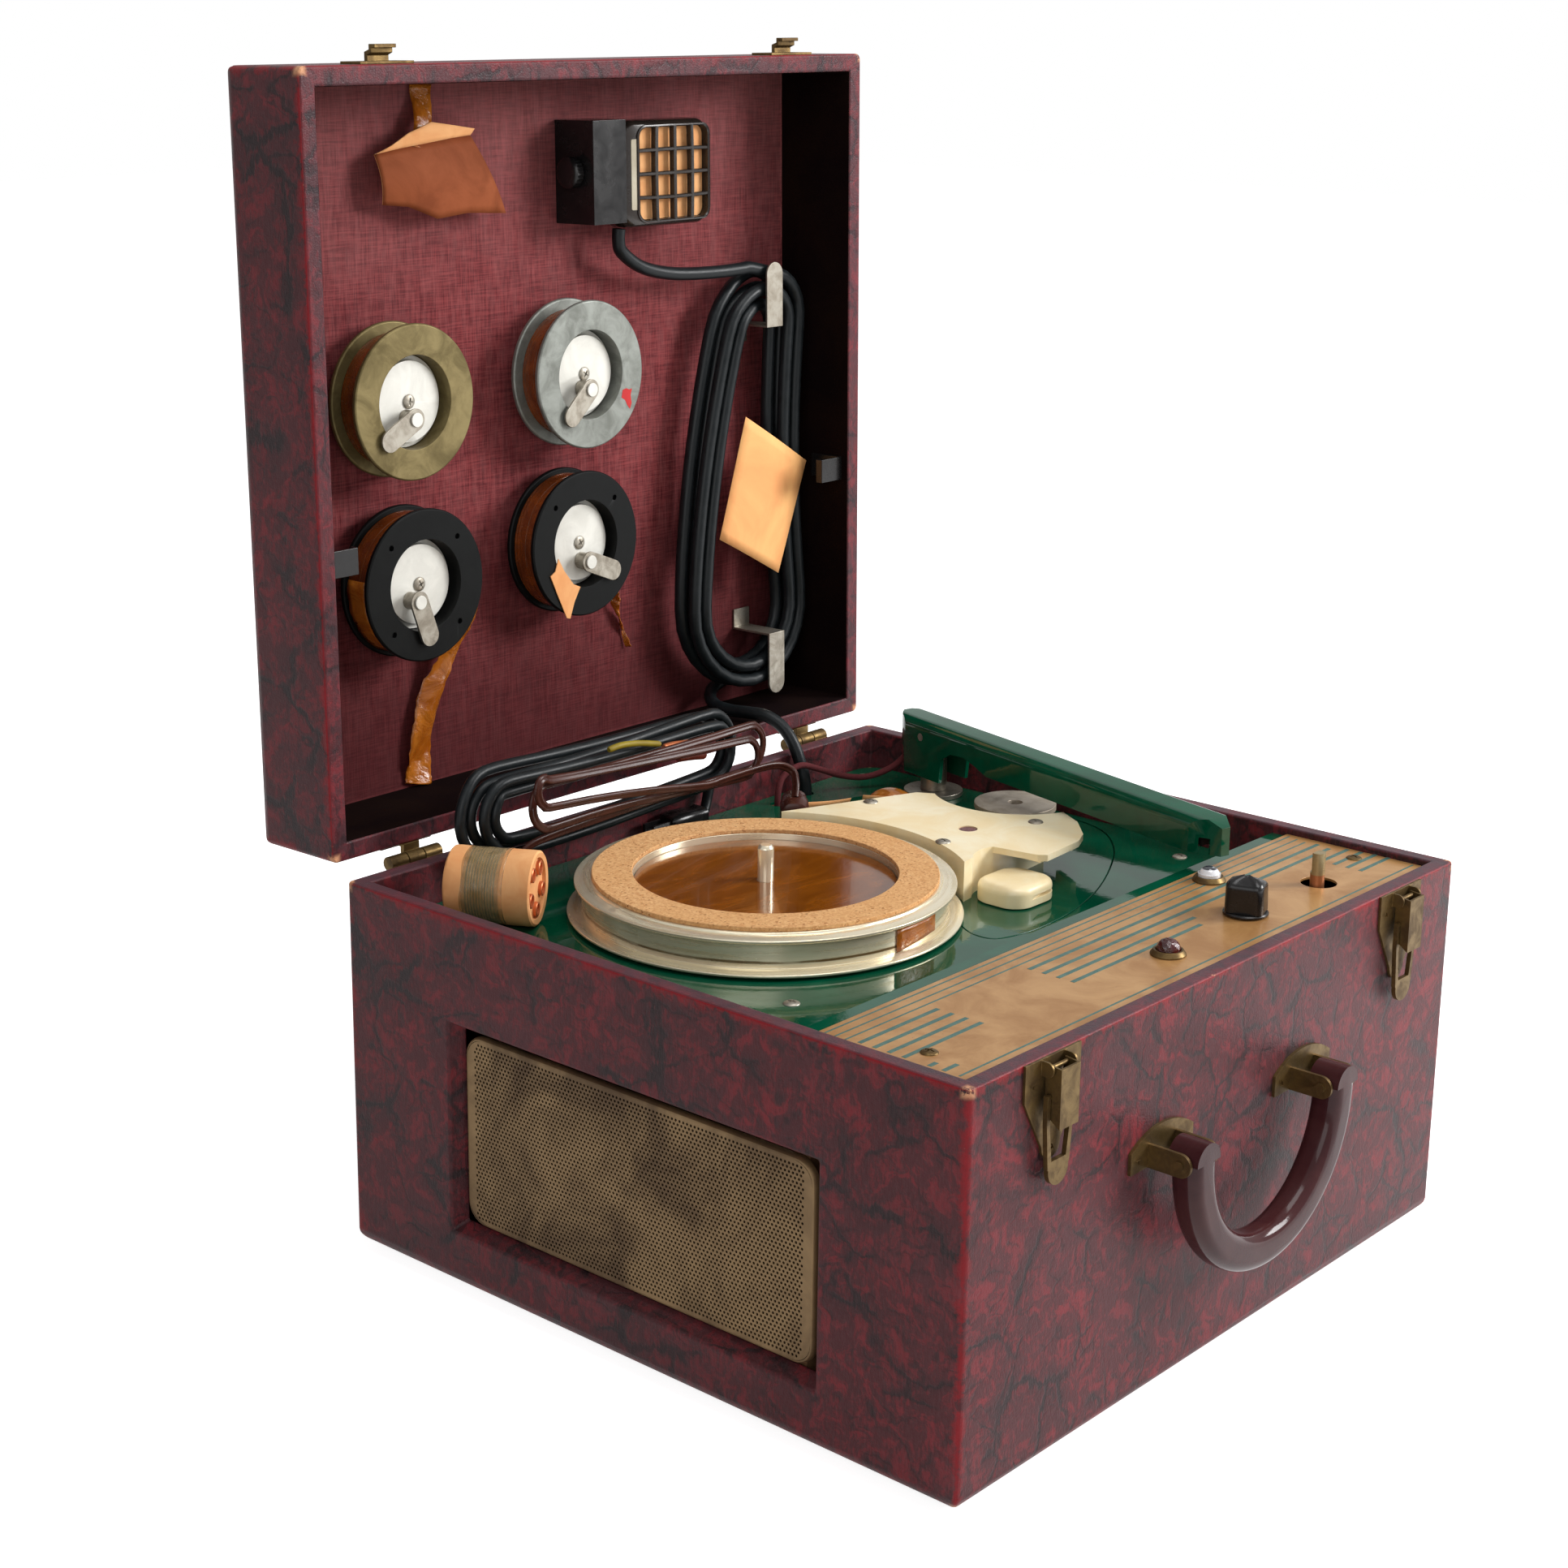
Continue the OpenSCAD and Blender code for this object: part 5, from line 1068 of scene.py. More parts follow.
# ---------------------------------------------------------------- studio
@dataclass
class Studio:
    """Pale floor, soft lights and the camera of the photograph.

    Attributes:
        eye: place of the camera in millimetres.
        turn: its turn as an axis times an angle, from the solved view.
        focal_px: focal length in picture dots.
        middle_px: dot that the camera looks at.
        picture_px: dots along each side.
        sensor: width of the sensor in millimetres.
    """

    eye: tuple = (-906.117, -706.591, 550.464)
    turn: tuple = (1.71483151029, -0.75632181787, 0.58927006740)
    focal_px: float = 3351.739
    middle_px: tuple = (895.705, 878.838)
    picture_px: float = 1932.0
    sensor: float = 36.0

    def camera(self) -> None:
        """Places the camera that saw the player."""
        data = bpy.data.cameras.new("camera")
        data.sensor_width = self.sensor
        data.lens = self.focal_px / self.picture_px * self.sensor
        data.shift_x = 0.5 - self.middle_px[0] / self.picture_px
        data.shift_y = self.middle_px[1] / self.picture_px - 0.5
        data.clip_start, data.clip_end = 0.05, 30.0
        obj = bpy.data.objects.new("camera", data)
        bpy.context.scene.collection.objects.link(obj)
        axis = Vector(self.turn)
        seen = Matrix.Rotation(axis.length, 3, axis.normalized()).transposed()
        flip = Matrix(((1, 0, 0), (0, -1, 0), (0, 0, -1)))
        obj.matrix_world = Matrix.Translation(Vector(self.eye) * MM) @ (seen @ flip).to_4x4()
        bpy.context.scene.camera = obj

    def lamp(self, name: str, place: Point, aim: Point, size: float, power: float) -> None:
        """Adds one square soft light, with places in metres and power in watts."""
        data = bpy.data.lights.new(name, "AREA")
        data.shape, data.size, data.energy = "SQUARE", size, power
        obj = bpy.data.objects.new(name, data)
        bpy.context.scene.collection.objects.link(obj)
        way = Vector(aim) - Vector(place)
        turned = way.to_track_quat("-Z", "Y").to_matrix().to_4x4()
        obj.matrix_world = Matrix.Translation(place) @ turned

    def lights(self) -> None:
        """Adds the key, the top light, the fill and the white surroundings."""
        self.lamp("key", (1.35, -1.25, 1.05), (0, 0.05, 0.2), 0.8, 42)
        self.lamp("top", (0.1, -0.5, 1.9), (0, 0, 0.1), 1.0, 15)
        self.lamp("fill", (-1.6, -0.9, 0.9), (0, 0, 0.15), 1.2, 9)
        world = bpy.data.worlds.new("surroundings")
        bpy.context.scene.world = world
        g = self.emptied(world)
        strength = g.math("MULTIPLY_ADD", self.seen(g), 0.84, 0.16)
        sky = g.add("ShaderNodeBackground", {"Color": (1, 1, 1, 1), "Strength": strength})
        g.add("ShaderNodeOutputWorld", {0: sky.outputs[0]})

    @staticmethod
    def emptied(owner: Union[bpy.types.World, bpy.types.Material]) -> Graph:
        """Returns the emptied node graph of a world or a material."""
        owner.use_nodes = True
        owner.node_tree.nodes.clear()
        return Graph(owner.node_tree)

    @staticmethod
    def seen(g: Graph) -> bpy.types.NodeSocket:
        """Returns 1 for rays from the camera or through glass, and less for mirrored ones."""
        path = g.add("ShaderNodeLightPath").outputs
        mirrored = g.math("MULTIPLY", path["Is Glossy Ray"], 0.6)
        return g.math("MAXIMUM", path["Is Camera Ray"],
                      g.math("MAXIMUM", mirrored, path["Is Transmission Ray"]))

    def floor(self) -> None:
        """Lays a wide pale floor under the glides, with only a soft contact shadow on it."""
        bm = bmesh.new()
        bmesh.ops.create_grid(bm, x_segments=1, y_segments=1, size=6.0)
        bmesh.ops.translate(bm, vec=(0, 0, -0.003), verts=bm.verts)
        mesh = bpy.data.meshes.new("floor")
        bm.to_mesh(mesh)
        bm.free()
        material = bpy.data.materials.new("floor_paper")
        g = self.emptied(material)
        place = g.add("ShaderNodeTexCoord").outputs["Object"]
        lift = g.math("MULTIPLY", g.step(g.radius(place), 0.2, 0.55, 0.84, 1.0), self.seen(g))
        paper = g.add("ShaderNodeBsdfDiffuse", {"Color": (0.8, 0.8, 0.8, 1)})
        white = g.add("ShaderNodeEmission", {"Color": (1, 1, 1, 1), "Strength": lift})
        both = g.add("ShaderNodeAddShader", {0: paper.outputs[0], 1: white.outputs[0]})
        g.add("ShaderNodeOutputMaterial", {0: both.outputs[0]})
        link(mesh, "floor", material)


# ---------------------------------------------------------------- cords
class Lay:
    """Routes of the cords, point for point as in the frame."""

    @staticmethod
    def curve(a: Vector, b: Vector, c: Vector, d: Vector, t: float) -> Vector:
        """Returns a point on a smooth curve from b to c."""
        squared, cubed = 2 * a - 5 * b + 4 * c - d, 3 * b - a - 3 * c + d
        return 0.5 * (2 * b + (c - a) * t + squared * t * t + cubed * t ** 3)

    @classmethod
    def route(cls, points: Sequence[Point], steps: int) -> list:
        """Returns a smooth line through points with the given steps between them."""
        p = [Vector(q) for q in points]
        last = len(p) - 1
        line = [cls.curve(p[max(i - 1, 0)], p[i], p[i + 1], p[min(i + 2, last)], j / steps)
                for i in range(last) for j in range(steps)]
        return line + [p[last]]

    @staticmethod
    def track(f: float, c: float, b: float, d: float) -> tuple:
        """Returns a point on an egg shaped ring.

        Args:
            f: place round the ring, from 0 to 1.
            c: half of the distance between the two ends' middles.
            b: radius of the wide end.
            d: how much smaller the other end's radius is.

        Returns:
            The place along the ring's length and across it.
        """
        lean = math.degrees(math.asin(d / (2 * c)))
        tight = b - d
        turn = math.radians(lean)
        if f < 0.2:
            g = f / 0.2
            r = tight + d * g
            return -c + 2 * c * g - r * math.sin(turn), r * math.cos(turn)
        if f < 0.5:
            a = math.radians(90 + lean - (180 + 2 * lean) * (f - 0.2) / 0.3)
            return c + b * math.cos(a), b * math.sin(a)
        if f < 0.7:
            g = (f - 0.5) / 0.2
            r = b - d * g
            return c - 2 * c * g - r * math.sin(turn), -r * math.cos(turn)
        a = math.radians(-90 - lean - (180 - 2 * lean) * (f - 0.7) / 0.3)
        return -c + tight * math.cos(a), tight * math.sin(a)

    @staticmethod
    def inset(q: float, nest: int, pitch: float) -> float:
        """Returns how far a loop lies inside the outermost one."""
        k = math.floor(q / nest)
        f = q - k * nest
        return pitch * (f if k % 2 == 0 else nest - f)

    @staticmethod
    def layer(q: float, nest: int) -> float:
        """Returns the layer of a loop, with soft steps between layers."""
        k = math.floor(q / nest + 0.5)
        s = max(0.0, min(1.0, (q - k * nest) / 0.24 + 0.5))
        return k + s * s * (3 - 2 * s) - 1

    def microphone(self) -> list:
        """Returns the microphone cord from the clamp to the deck, in metres."""
        start = [(35, -90.6, 30), (35, -85, 30.5), (38, -79, 31), (52, -71, 31), (74, -66.5, 30.5),
                 (102, -65.5, 28), (124, -66.2, 26.4)]
        line = self.route(start, 4)
        for i in range(109):
            q = i / 24
            s = self.inset(q, 2, 8.1)
            f = q + 0.85
            u, v = self.track(f - math.floor(f), 69, 45 - s, 14)
            bent = 15 * ((u - 40) / 125) ** 2
            line.append(Vector((120 + bent + v, 37 + u, 26 + 7.3 * max(0.0, self.layer(q, 2)))))
        coil = [LID_TO_ROW @ (p * MM) for p in line]
        end, way = coil[-1], (coil[-1] - coil[-2]).normalized()
        tail = [end + way * 0.0003, end + way * 0.007]
        tail += [Vector(p) * MM for p in (
            (109.5, HINGE_Y + 41.2, RIM + 24.4), (102.4, HINGE_Y + 36.5, RIM + 21.4),
            (98.4, HINGE_Y + 28.3, RIM + 19.4), (98, HINGE_Y + 17.8, RIM + 18.8),
            (99.8, HINGE_Y + 7.3, RIM + 19.2), (102.6, HINGE_Y - 2.1, RIM + 18.6),
            (105.2, 166.4, RIM + 14.2), (106.8, 159.9, RIM + 6), (107.7, 155.4, RIM - 4.5),
            (108, 152.7, DECK_Z + 5), (108, 152, DECK_Z - 4))]
        return coil[:-1] + self.route(tail, 4)

    def black(self) -> list:
        """Returns the black lead from its grommet to its plug, in metres."""

        def point(q: float) -> Vector:
            """Returns a place of the hank after q turns."""
            s, k = self.inset(q, 2, 6.2), self.layer(q, 2)
            low, high = -125.5 - 5.6 * k + 0.7 * k * k, 51.6 + 4.4 * k - 2.2 * k * k
            rise = -0.01 + 0.047 * k - 0.026 * k * k
            u, v = self.track(q - math.floor(q), (high - low) / 2 - 22, 22 - s, 0)
            x = (low + high) / 2 + u
            return Vector((x, 145.6 + 5.8 * k, RIM + 18.5 + 2.2 * k - 1.9 * k * k + rise * (x + 36)
                           + 1.2 * math.sin(math.radians(1.6 * x)) + v))

        start = [(-98, 150, DECK_Z - 5), (-98, 150, DECK_Z + 4), (-102, 147, DECK_Z + 9),
                 (-108.5, 145.2, DECK_Z + 18)]
        end = [(41, 157, DECK_Z + 18.5), (37.5, 155.8, DECK_Z + 11.5), (34, 154.3, DECK_Z + 7),
               (30, 153.5, DECK_Z + 5.5)]
        line = self.route(start + [point(0.8)], 3) + [point(0.8 + i / 24) for i in range(1, 87)]
        return [p * MM for p in line + self.route([point(4.42)] + end, 3)]

    def brown(self) -> list:
        """Returns the brown lead from its plug to its grommet, in metres."""

        def point(q: float) -> Vector:
            """Returns a place of the hank after q turns."""
            s, k = self.inset(q, 1, 5.6), self.layer(q, 1)
            u, v = self.track(q - math.floor(q), 64.8 + 1.27 * k, 13 - s, 0)
            x = -33.6 + 6.7 * k + u
            return Vector((x, 126.8 + 5 * k + 0.015 * x,
                           RIM + 25 - 3.7 * k + (0.075 * k - 0.09) * (x + 20)
                           - 2.5 * math.sin(math.radians(1.3 * x)) + v))

        start = [(56, 115, DECK_Z + 17), (60, 118, DECK_Z + 23), (62, 123, DECK_Z + 28),
                 (50, 127, DECK_Z + 31.5)]
        end = [(-100, 136, RIM + 6), (-107, 138, RIM - 3), (-108, 140, DECK_Z + 5),
               (-108, 140, DECK_Z - 5)]
        line = self.route(start + [point(0.54)], 4) + [point(0.54 + i / 24) for i in range(1, 51)]
        return [p * MM for p in line + self.route([point(2.66)] + end, 4)]

    def arm(self) -> list:
        """Returns the cloth lead of the tone arm, in metres."""
        points = [(156, 117.6, DECK_Z + 24), (153.2, 123, DECK_Z + 17), (146.3, 128.2, DECK_Z + 10),
                  (136, 136, DECK_Z + 6), (124, 143, DECK_Z + 8), (112, 146, DECK_Z + 13),
                  (100, 149, DECK_Z + 17), (89, 151, DECK_Z + 13), (84, 150, DECK_Z + 5),
                  (84, 150, DECK_Z - 5)]
        return [p * MM for p in self.route(points, 4)]


def span(path: Sequence[Vector]) -> float:
    """Returns the length of a line of points."""
    return sum((b - a).length for a, b in zip(path, path[1:]))


@dataclass
class Cords:
    """All loose leads of the player."""

    finishes: Finishes
    mic_d: float = 6.5
    black_d: float = 5.2
    brown_d: float = 4.2
    arm_d: float = 3.2
    lay: Lay = field(default_factory=Lay)

    def tube(self, name: str, path: Sequence[Vector], outline: Callable[[int], Sequence[Point]],
             material: bpy.types.Material) -> bpy.types.Object:
        """Makes one swept lead."""
        bm = bmesh.new()
        sweep(bm, path, outline)
        return from_bmesh(bm, name, material, crease=60)

    def smooth(self, path: Sequence[Vector]) -> list:
        """Returns a path without doubled points and with one more halfway between each two."""
        closest = 0.2 * MM
        clean = [path[0]] + [b for a, b in zip(path, path[1:]) if (b - a).length > closest]
        return self.lay.route(clean, 2)

    def twin(self, width: float) -> list:
        """Returns the outline of two cores moulded side by side."""
        r = width * 0.27
        points = []
        for side in (1, -1):
            for k in range(9):
                a = math.radians(-125 + 250 * k / 8)
                points.append((side * (width / 2 - r + r * math.cos(a)), side * r * math.sin(a)))
        return points

    def plug(self, name: str, centre: Point, size: Point, turn: float, blades: Sequence[tuple],
             material: bpy.types.Material, node: str) -> bpy.types.Object:
        """Makes a moulded plug body with two flat blades.

        Args:
            name: name of the piece.
            centre: middle of the body in millimetres.
            size: its length, width and height in millimetres.
            turn: its turn about Z in degrees.
            blades: offsets of each blade across and up from the middle.
            material: finish of the body.
            node: CAD node that it stands for.

        Returns:
            The plug.
        """
        bm = bmesh.new()
        long, wide, high = size
        outline = rounded(wide, high, high * 0.3, 4)
        shape = ((-0.5, 0.72), (-0.47, 0.86), (-0.3, 1.0), (0.1, 1.0), (0.3, 0.82), (0.5, 0.9))
        loft(bm, [[Vector((t * long, x * k, y * k)) * MM for x, y in outline] for t, k in shape])
        blade = Matrix.Diagonal((0.0125, 0.0014, 0.006, 1))
        for across, up in blades:
            place = Matrix.Translation(Vector((-long / 2 - 6, across, up)) * MM)
            bar = bmesh.ops.create_cube(bm, size=1.0, matrix=place @ blade)
            for face in {f for v in bar["verts"] for f in v.link_faces}:
                face.material_index = 1
        matrix = (Matrix.Translation(Vector(centre) * MM)
                  @ Matrix.Rotation(math.radians(turn), 4, "Z"))
        obj = from_bmesh(bm, name, material, self.finishes.steel, matrix=matrix)
        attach(obj, Body.CASE.value)
        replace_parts(obj, node)
        return obj

    def relief(self, name: str, path: Sequence[Vector], radius: float, long: float,
               material: bpy.types.Material) -> bpy.types.Object:
        """Makes the tapered sleeve over the start of a lead, where it leaves the deck."""
        last = next(i for i in range(1, len(path)) if span(path[:i + 1]) > long * MM)
        bm = bmesh.new()
        sweep(bm, path[:last + 1], lambda i: circle((radius + 0.5 + 1.0 * (1 - i / last)) * MM, 14))
        obj = from_bmesh(bm, name, material, crease=60)
        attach(obj, Body.CASE.value)
        return obj

    def build(self) -> None:
        """Makes every lead with what is on it."""
        f = self.finishes
        path = self.smooth(self.lay.microphone())
        mic = self.tube("microphone_cord", path, lambda i: circle(self.mic_d / 2 * MM, 12),
                        f.rubber)
        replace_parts(mic, "mic_cord", "mic_cord_tail")
        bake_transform(mic)

        path = self.smooth(self.lay.black())
        black = self.tube("black_lead_cord", path, lambda i: circle(self.black_d / 2 * MM, 12),
                          f.rubber)
        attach(black, Body.CASE.value)
        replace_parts(black, "black_lead")
        plug = self.plug("black_plug", (18, 153.5, DECK_Z + 5.5), (24, 13, 11), 0,
                         ((-2.8, 0), (3.2, 0)), f.bakelite, "black_lead")
        sleeve = self.relief("black_relief", path, self.black_d / 2, 20, f.rubber)

        path = list(reversed(self.smooth(self.lay.brown())))
        outline = [(x * MM, y * MM) for x, y in self.twin(self.brown_d)]
        brown = self.tube("brown_lead_cord", path, lambda i: outline, f.vinyl)
        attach(brown, Body.CASE.value)
        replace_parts(brown, "brown_lead")
        place = (Vector((56, 115, DECK_Z))
                 + Matrix.Rotation(math.radians(42), 3, "Z") @ Vector((3, 0, 8.6)))
        plug = self.plug("brown_plug", place, (22, 14, 17.2), 42, (), f.vinyl, "brown_lead")
        sleeve = self.relief("brown_relief", path, self.brown_d / 2, 20, f.vinyl)

        path = self.smooth(self.lay.arm())
        arm = self.tube("arm_lead_cord", path, lambda i: circle(self.arm_d / 2 * MM, 10),
                        f.lead_cloth)
        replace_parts(arm, "tone_arm_lead")
        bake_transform(arm)
        LOG.info("cords laid")


# ---------------------------------------------------------------- sub-assemblies
class Assembly:
    """Base of the sub-assemblies: keeps the finishes and dresses frame nodes."""

    def __init__(self, finishes: Finishes, repeats: Repeats) -> None:
        """Keeps what every sub-assembly uses."""
        self.f = finishes
        self.repeats = repeats

    def coat(self, material: bpy.types.Material, *nodes: str) -> None:
        """Gives frame nodes a finish as they are."""
        for node in nodes:
            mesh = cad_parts[node].data
            mesh.materials.clear()
            mesh.materials.append(material)

    def refine(self, body: Body, node: str, material: bpy.types.Material, bevel: float = 0.0,
               segments: int = 2, crease: float = 30.0) -> bpy.types.Object:
        """Dresses one frame node as a clean mesh with softened edges.

        Args:
            body: body that it rides on.
            node: CAD node that it stands for.
            material: its finish.
            bevel: width of the rounded edges in millimetres.
            segments: steps of each rounded edge.
            crease: angle in degrees from which an edge is rounded.

        Returns:
            The new object.
        """
        bm = bmesh.new()
        bm.from_mesh(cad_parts[node].data)
        bmesh.ops.remove_doubles(bm, verts=bm.verts, dist=4e-6)
        bmesh.ops.dissolve_limit(bm, angle_limit=math.radians(0.6), verts=bm.verts, edges=bm.edges)
        mesh = bpy.data.meshes.new(node)
        bm.to_mesh(mesh)
        bm.free()
        obj = link(mesh, node + "_dressed", material)
        soften(mesh, crease)
        if bevel:
            edge = obj.modifiers.new("rounding", "BEVEL")
            edge.width = bevel * MM
            edge.segments = segments
            edge.limit_method = "ANGLE"
            edge.angle_limit = math.radians(crease)
            edge.harden_normals = True
        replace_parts(obj, node)
        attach(obj, body.value)
        LOG.info("dressed %s", node)
        return obj

    def dress(self, *rows: tuple) -> None:
        """Dresses frame nodes, each given by what refine takes, with its finish by short name."""
        for body, node, finish, *edges in rows:
            self.refine(body, node, self.f.made[finish], *edges)

    @staticmethod
    def recolour(obj: bpy.types.Object, material: bpy.types.Material,
                 chosen: Callable[[bpy.types.MeshPolygon], bool]) -> None:
        """Gives one more finish to those faces of a piece that a test picks."""
        obj.data.materials.append(material)
        for face in obj.data.polygons:
            if chosen(face):
                face.material_index = len(obj.data.materials) - 1

    def ride(self, obj: bpy.types.Object, body: Body) -> bpy.types.Object:
        """Puts a piece on a body."""
        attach(obj, body.value)
        LOG.info("made %s", obj.name)
        return obj


class Case(Assembly):
    """Covered base with its grille, rails and inner works."""

    window_y, window_z = 2.5, 74.5
    pan_w, pan_h = 196.0, 87.0

    def build(self) -> None:
        """Dresses the base and makes the grille."""
        self.refine(Body.CASE, "case_base", self.f.case, 1.2, 3)
        self.refine(Body.CASE, "case_glides", self.f.steel)
        cleats = self.refine(Body.CASE, "deck_cleats", self.f.wood)
        self.recolour(cleats, self.f.enamel, lambda face: face.center.z > (DECK_Z + 1) * MM)
        self.coat(self.f.dark, "speaker", "turntable_motor")
        self.coat(self.f.pewter, "amplifier")
        self.grille()

    def grille(self) -> None:
        """Makes the pressed brass grille with its perforated face."""
        front = -HALF_W + WALL - 3.2
        turn = Matrix(((0, 0, -1, front * MM), (-1, 0, 0, self.window_y * MM),
                       (0, 1, 0, self.window_z * MM), (0, 0, 0, 1)))
        face = self.repeats.grow("grille_face", self.repeats.perforated(), self.f.grille, {
            "Width": (self.pan_w - 3) * MM, "Height": (self.pan_h - 3) * MM, "Corner": 9 * MM,
            "Pitch": 2.05 * MM, "Hole": 0.62 * MM, "Thickness": 0.5 * MM}, matrix=turn)
        self.ride(face, Body.CASE)

        def loop(grow: float, deep: float, radius: float, steps: int) -> list:
            """Returns one loop of the pan, grown over its size and set back from its front."""
            return [Vector((front + deep, self.window_y - y, self.window_z + z)) * MM
                    for y, z in rounded(self.pan_w + grow, self.pan_h + grow, radius, steps)]

        bm = bmesh.new()
        section = ((-3.0, 0.0), (-1.6, 0.15), (-0.6, 0.7), (0.0, 1.7), (0.0, 3.1), (-1.0, 3.1),
                   (-1.0, 1.2), (-3.0, 0.5))
        loops = [loop(grow, deep, 10 + grow / 2, 8) for grow, deep in section]
        loft(bm, loops + loops[:1], False, False)
        bmesh.ops.remove_doubles(bm, verts=bm.verts, dist=WELD)
        rim = self.ride(from_bmesh(bm, "grille_rim", self.f.grille), Body.CASE)
        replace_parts(rim, "speaker_grille")
        bm = bmesh.new()
        loft(bm, [loop(-2.4, deep, 9, 6) for deep in (1.6, 2.2)])
        self.ride(from_bmesh(bm, "grille_cloth", self.f.dark), Body.CASE)


class Deck(Assembly):
    """Green deck with drum, ivory head cover and knob."""

    knob_at, knob_w, knob_d = (47.0, -24.0), 32.0, 28.0

    def build(self) -> None:
        """Dresses the deck pieces."""
        self.dress(
            (Body.CASE, "deck_plate", "enamel", 0.35),
            (Body.CASE, "head_plate", "enamel", 0.35),
            (Body.CASE, "head_cover", "ivory", 1.3, 4, 40),
            (Body.BUTTON, "record_button", "red", 0.4),
            (Body.TURNTABLE, "turntable_drum", "nickel", 0.25),
            (Body.TURNTABLE, "cork_mat", "cork", 0.4),
            (Body.TURNTABLE, "turntable_disc", "laminate", 0.3),
            (Body.SUPPLY, "supply_hub", "pewter", 0.35))
        self.knob()
        self.screws()

    def knob(self) -> None:
        """Makes the softly rounded ivory knob with the dark slot at one corner."""
        x0, y0 = self.knob_at
        low = DECK_Z + 0.4
        bm = bmesh.new()
        loops = []
        slot_level = 9.0  # marks the two levels that are set in only at the slot
        levels = [(0.0, 0.6), (0.4, 0.1), (1.0, 0.0), (3.6, 0.0), (3.6, slot_level),
                  (5.4, slot_level), (5.4, 0.0), (6.4, 0.0), (7.6, 0.25), (8.5, 0.8), (9.2, 1.7),
                  (9.65, 3.0), (9.85, 5.0), (9.95, 8.0)]
        for height, inset in levels:
            ring = []
            for x, y in rounded(self.knob_w, self.knob_d, 10.0, 10):
                part = inset
                if inset == slot_level:
                    part = 2.6 if x > 0.5 and y < 7.5 else 0.0
                k = max(0.05, 1 - part / math.hypot(x, y))
                ring.append(Vector((x0 + x * k, y0 + y * k, low + height)) * MM)
            loops.append(ring)
        loft(bm, loops)
        for face in bm.faces:
            middle = face.calc_center_median() / MM
            if 3.5 < middle.z - low < 5.5 and abs(face.normal.z) < 0.95:
                out_x = abs(middle.x - x0) / (self.knob_w / 2)
                out_y = abs(middle.y - y0) / (self.knob_d / 2)
                slot = middle.x > x0 and middle.y < y0 + 7.5 and max(out_x, out_y) < 0.99
                face.material_index = 1 if slot else 0
        bmesh.ops.remove_doubles(bm, verts=bm.verts, dist=1e-6)
        post = [[Vector((x0 + x, y0 + y, z)) * MM for x, y in circle(4.0, 24)]
                for z in (DECK_Z - 9, low + 0.5)]
        loft(bm, post)
        knob = self.ride(from_bmesh(bm, "mode_knob_round", self.f.ivory, self.f.dark, crease=38),
                         Body.MODE)
        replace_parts(knob, "mode_knob")

    def screws(self) -> None:
        """Sets the cross head screws of deck, cover and panel."""
        heads = self.repeats.screws()
        for name, finish, z, places in (
                ("deck_screws", self.f.steel, DECK_Z,
                 ((-121, -36), (150, -45), (-155, 150), (152, 150))),
                ("cover_screws", self.f.steel, RIM, ((70, 79), (44, 15), (98, 2))),
                ("panel_screws", self.f.brass, PANEL_Z, ((-155.6, -133), (160.5, -130.5)))):
            sizes = {"Radius": 3.6 * MM, "Rise": 1.2 * MM, "Slot": 0.8 * MM, "Spin": 0.5}
            obj = self.repeats.grow(name, heads, finish, sizes, [(x, y, z) for x, y in places])
            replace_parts(self.ride(obj, Body.CASE), "top_screws")


class ToneArm(Assembly):
    """Green tone arm with its yoke and cartridge."""

    def build(self) -> None:
        """Dresses the arm pieces."""
        self.dress(
            (Body.ARM, "tone_arm", "enamel", 1.4, 4, 34),
            (Body.CASE, "tone_arm_post", "steel", 0.3),
            (Body.SWIVEL, "arm_yoke", "steel", 0.2),
            (Body.ARM, "cartridge", "dark", 0.3))


